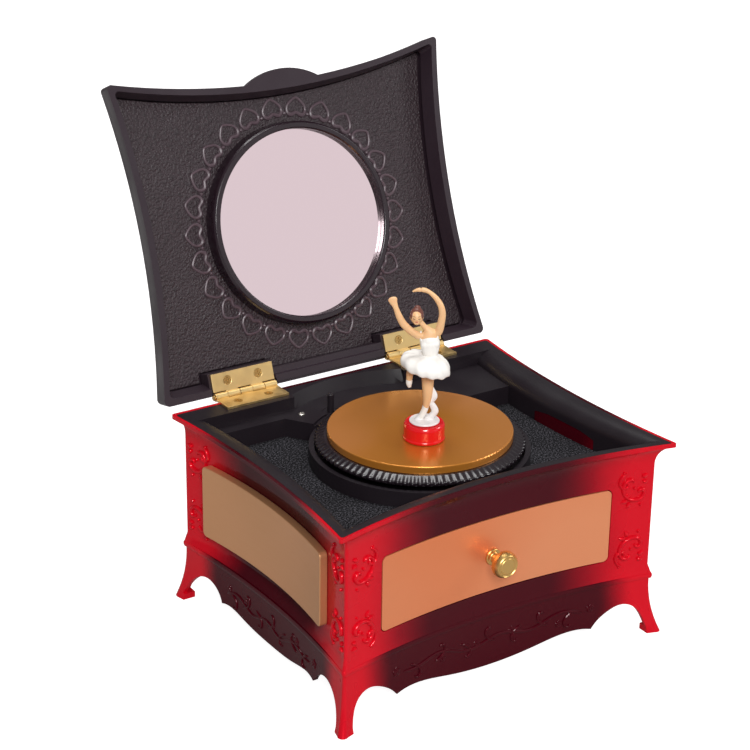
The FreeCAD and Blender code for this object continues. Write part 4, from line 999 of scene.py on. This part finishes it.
SKIN = figure_paint("figure_skin", rgb(238, 190, 140), 0.45, Subsurface_Weight=0.15,
                    Subsurface_Radius=(0.003, 0.0015, 0.001))
WHITE = figure_paint("dress_white", rgb(246, 242, 236), 0.5)
HAIR = figure_paint("hair_paint", rgb(112, 66, 56), 0.4)
SHOE = figure_paint("shoe_white", rgb(244, 238, 230), 0.35)
LIPS = figure_paint("lip_paint", rgb(196, 84, 84), 0.4)
EYES = figure_paint("eye_paint", rgb(62, 40, 36), 0.4)


def ball(place, size, count=(24, 32)):
    """Closed oval ball from circles of latitude; size is (right, front, up)."""
    lat = np.linspace(-math.pi / 2, math.pi / 2, count[0])
    lon = np.linspace(0, 2 * math.pi, count[1], endpoint=False)
    x = np.cos(lat)[:, None] * np.cos(lon) * size[0]
    y = np.cos(lat)[:, None] * np.sin(lon) * size[1]
    z = np.sin(lat)[:, None] * size[2] + 0 * lon
    points = np.stack([x, y, z], -1).reshape(-1, 3) + np.asarray(place, float)
    return figure_place(points), grid_faces(*count)


HEAD = np.array([-4.0, 0.7, 138.8])
HEAD_SIZE = np.array([2.5, 2.65, 3.0])


def on_head(right, front, up):
    """Place given as shares of the head's half width, half depth and half height."""
    return HEAD + HEAD_SIZE * np.array([right, front, up])


def figure():
    skin = [
        limb([(1.4, 0.2, 126.0, 3.4, 2.5), (1.3, 0.1, 129.2, 3.6, 2.4), (1.0, 0.0, 131.4, 3.6, 2.0),
              (0.3, 0.0, 133.1, 1.7, 1.4), (-0.8, 0.1, 134.4, 1.1, 1.1), (-2.4, 0.3, 136.4, 1.05, 1.1)]),
        limb([(3.0, 0.0, 131.0, 1.5, 1.4), (4.8, 0.3, 132.6, 1.6, 1.45), (5.6, 0.7, 136.4, 1.5, 1.35),
              (6.0, 1.0, 140.2, 1.4, 1.25), (5.2, 1.0, 143.8, 1.25, 1.1), (3.2, 0.8, 146.9, 1.05, 0.95),
              (0.6, 0.7, 149.2, 0.85, 0.75), (-1.6, 0.6, 150.0, 1.0, 0.6), (-4.0, 0.6, 149.9, 0.75, 0.5),
              (-5.6, 0.6, 149.3, 0.4, 0.35)], 54),
        limb([(-1.2, 0.0, 130.4, 1.5, 1.4), (-3.4, 0.3, 130.8, 1.6, 1.45), (-6.2, 0.8, 132.8, 1.55, 1.3),
              (-9.0, 1.0, 135.6, 1.5, 1.2), (-10.8, 1.0, 138.8, 1.35, 1.1), (-12.0, 0.8, 141.8, 1.1, 0.9),
              (-12.6, 0.7, 143.4, 1.2, 0.8), (-13.2, 0.6, 144.8, 1.6, 0.7),
              (-13.5, 0.6, 145.7, 1.9, 0.6)], 54),
        limb([(1.0, 0.0, 115.5, 2.6, 2.5), (1.0, 0.3, 110.6, 2.4, 2.35), (1.0, 0.6, 106.6, 2.05, 2.05),
              (0.9, 0.4, 103.6, 1.75, 1.8), (0.6, 0.1, 101.0, 1.4, 1.5),
              (0.2, 0.0, 99.4, 1.15, 1.2)]),
        limb([(-0.4, 0.4, 116.4, 2.1, 2.1), (-2.4, 1.0, 117.2, 1.8, 1.8), (-4.8, 0.8, 116.8, 1.6, 1.6),
              (-6.1, 0.5, 114.8, 1.45, 1.4), (-6.35, 0.4, 112.6, 1.3, 1.25), (-6.4, 0.3, 111.3, 1.15, 1.1)]),
        ball(HEAD, HEAD_SIZE),
        ball(on_head(0.0, 0.92, -0.15), (0.36, 0.46, 0.5), (12, 14)),
        ball(on_head(0.0, 0.5, -0.62), (1.3, 1.25, 1.1), (14, 18)),
        *(ball(on_head(side, 0.0, -0.1), (0.3, 0.6, 0.75), (10, 12)) for side in (0.97, -0.97)),
    ]
    piece = add_mesh("figure_body", *joined(skin), SKIN, "dancer", "figure_skin")
    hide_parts("dancer_figure")
    fused(piece, 0.18, 3)
    bodice = [
        limb([(1.5, 0.0, 117.4, 3.7, 3.5), (1.6, 0.0, 120.6, 3.3, 2.9), (1.6, 0.1, 122.8, 3.1, 2.6),
              (1.6, 0.3, 125.2, 3.6, 2.9), (1.5, 0.4, 127.4, 3.95, 3.0), (1.4, 0.4, 128.2, 3.9, 2.7)]),
        ball((-0.5, 1.5, 127.4), (1.9, 1.6, 1.6), (16, 20)),
        ball((3.3, 1.5, 127.6), (1.9, 1.6, 1.6), (16, 20)),
        limb([(-2.0, 0.5, 128.0, 0.45, 0.9), (-2.4, 0.4, 130.2, 0.4, 1.2),
              (-2.2, -0.2, 131.9, 0.4, 1.0)], 14, 12),
        limb([(4.2, 0.5, 128.2, 0.45, 0.9), (4.4, 0.4, 130.6, 0.4, 1.2),
              (4.0, -0.2, 132.9, 0.4, 1.0)], 14, 12),
    ]
    fused(add_mesh("figure_bodice", *joined(bodice), WHITE, "dancer", "figure_white"), 0.18, 3)
    shoes = [
        limb([(0.5, 0.0, 100.6, 1.35, 1.4), (0.0, 0.1, 98.8, 1.3, 1.3), (-0.8, 0.2, 97.0, 1.25, 1.15),
              (-1.5, 0.3, 95.6, 1.15, 1.0)]),
        limb([(-6.4, 0.3, 111.6, 1.3, 1.25), (-6.45, 0.3, 110.2, 1.25, 1.15), (-6.3, 0.3, 109.2, 0.9, 0.85)]),
    ]
    fused(add_mesh("figure_shoes", *joined(shoes), SHOE, "dancer", "figure_white"), 0.18, 2)
    hair = [
        ball(on_head(0.04, -0.25, 0.22), HEAD_SIZE * [1.1, 1.0, 0.97]),
        ball(on_head(0.1, -0.45, 1.05), (1.35, 1.3, 1.15), (16, 20)),
        *(ball(on_head(side, 0.24, 0.18), (0.95, 1.15, 1.6), (14, 18)) for side in (0.68, -0.68)),
    ]
    fused(add_mesh("figure_hair", *joined(hair), HAIR, "dancer", "figure_skin"), 0.18, 2)
    eyes = []
    for side in (-1, 1):
        for line, thick in ((((0.22, 0.945, 0.0), (0.38, 0.915, -0.05), (0.54, 0.845, 0.0)), 0.12),
                            (((0.20, 0.93, 0.23), (0.40, 0.88, 0.28), (0.60, 0.775, 0.24)), 0.08)):
            knots = [tuple(on_head(side * r, f, u)) + (thick, thick) for r, f, u in line]
            eyes.append(limb(knots, 12, 8))
    add_mesh("figure_eyes", *joined(eyes), EYES, "dancer", "figure_skin")
    mouth = [tuple(on_head(r, f, u)) + (0.14, 0.14)
             for r, f, u in ((-0.18, 0.93, -0.45), (0.0, 0.985, -0.47), (0.18, 0.93, -0.45))]
    add_mesh("figure_mouth", *limb(mouth, 12, 8), LIPS, "dancer", "figure_skin")


figure()


# ---- dancer's tutu -----------------------------------------------------------------------------
# Stiff white skirt moulded in soft folds, puffed out from the waist and drooping at its brim.
# Plastic like the bodice, slipped over the hips and glued.
def tutu():
    """Profile carried round the hips.

    Folds are a sine of twelve turns, bent by a slower one, that grows towards the brim. The whole
    skirt leans, so that it is higher on the left, and sits a little left of its middle in the CAD.
    """
    centre = box_mm("dancer_tutu")[2]
    line = smooth_path([(3.4, 123.8), (4.4, 123.2), (6.4, 122.7), (8.4, 121.9), (9.9, 120.2), (10.3, 118.4),
                        (9.9, 117.2), (9.0, 117.4), (8.2, 118.4), (6.2, 119.4), (3.8, 119.8), (2.4, 120.8),
                        (2.4, 122.6), (3.4, 123.8)], 60)
    a = np.linspace(0, 2 * math.pi, 192, endpoint=False)
    r, z = line[:, 0], line[:, 1]
    share = np.clip((r - 3.0) / 8.0, 0, 1)[:, None]
    swing = 12 * a + 0.9 * np.sin(3 * a)
    radii = 0.96 * r[:, None] + 0.2 * np.sin(swing) * share ** 1.3
    x, y = radii * np.cos(a), radii * np.sin(a)
    lean = -0.23 * (x * TO_RIGHT[0] + y * TO_RIGHT[1]) * share ** 0.5
    heights = z[:, None] - 0.8 + 0.3 * np.cos(swing) * share ** 1.5 + lean
    slide = -1.3 * TO_RIGHT * share[..., None]
    points = np.stack([centre[0] + x + slide[..., 0], centre[1] + y + slide[..., 1], heights], -1)
    piece = add_mesh("tutu_folds", points.reshape(-1, 3), grid_faces(len(r), len(a)), WHITE, "dancer",
                     "figure_white", 60.0)
    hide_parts("dancer_tutu")


tutu()


# ---- stop post and ledge screws ----------------------------------------------------------------
# Small black post beside the turntable that the lid works, and two screws that hold the ledges.
# The post slides in a black guide; the screws are plated steel with a cross recess.
finished("stop_post", BLACK, 0.2)
finished("stop_guide", BLACK, 0.2)


def cross_screw(name, x, y, z, radius):
    """Pan head with a cross recess: the height dips where either arm of the cross passes."""
    r = np.concatenate([np.linspace(0, radius, 14), [radius, radius * 0.9, 0]])
    dome = 0.55 * np.sqrt(np.clip(1 - (np.linspace(0, 1, 14) * 0.96) ** 2, 0, 1))
    h = np.concatenate([dome, [-0.1, -0.3, -0.3]])
    a = np.linspace(0, 2 * math.pi, 64, endpoint=False)
    px, py = r[:, None] * np.cos(a), r[:, None] * np.sin(a)
    arm = np.minimum(np.abs(px), np.abs(py))
    dip = 0.4 * np.clip(1 - arm / (0.16 * radius), 0, 1) * (np.hypot(px, py) < 0.62 * radius)
    height = h[:, None] - dip * (np.arange(len(r)) < 14)[:, None]
    points = np.stack([x + px, y + py, z + height], -1).reshape(-1, 3)
    add_mesh(name, points, grid_faces(len(r), 64), STEEL, "case", "screw_steel", 60.0)


LEDGE = 80.0        # height of the ledges
cross_screw("ledge_screw_inner", -27.3, 21.1, LEDGE, 1.5)
cross_screw("ledge_screw_outer", -62.1, 30.5, LEDGE, 1.5)


# ---- parts under the tray ----------------------------------------------------------------------
# Bottom board, bosses, shelf, and the wind-up movement: plated bed, spring barrel, gears, pinned
# cylinder, steel comb and the air brake. They show from below and when the drawer is out.
BOARD = cast("board", rgb(46, 42, 44), 0.7, 0.08, 1100.0, 0.00005)
BED = plated("bed_metal", rgb(196, 190, 176), 0.34)
PLAIN_STEEL = plated("plain_steel", rgb(176, 178, 182), 0.28)
GEAR = cast("white_gear", rgb(232, 228, 216), 0.4, 0.06)
MAGNET = plated("magnet", rgb(120, 122, 126), 0.35)
HIDDEN = (
    (BOARD, "board", 0.2, ("bottom_plate", "drawer_shelf", "movement_divider")),
    (BLACK, "black_plastic", 0.2, ("screw_bosses",)),
    (STEEL, "screw_steel", 0.1, ("bottom_screws", "movement_screws", "comb_screws", "knob_screw")),
    (BED, "bed_metal", 0.2, ("movement_bedplate", "comb_block", "cylinder_brackets", "lever_bracket",
                             "governor_bracket")),
    (BRASS, "brass", 0.15, ("turntable_bearing", "drive_bearing", "cylinder")),
    (GEAR, "white_gear", 0.12, ("turntable_gear", "drive_pinion", "spring_barrel", "cylinder_spindle",
                                "governor_spindle")),
    (PLAIN_STEEL, "steel", 0.1, ("mainspring", "drive_shaft", "winding_arbor", "winding_key", "comb",
                                 "stop_spring", "brake_lever")),
    (MAGNET, "magnet", 0.2, ("base_magnet",)),
)
for material, slot, ease, names in HIDDEN:
    for name in names:
        finished(name, material, ease)
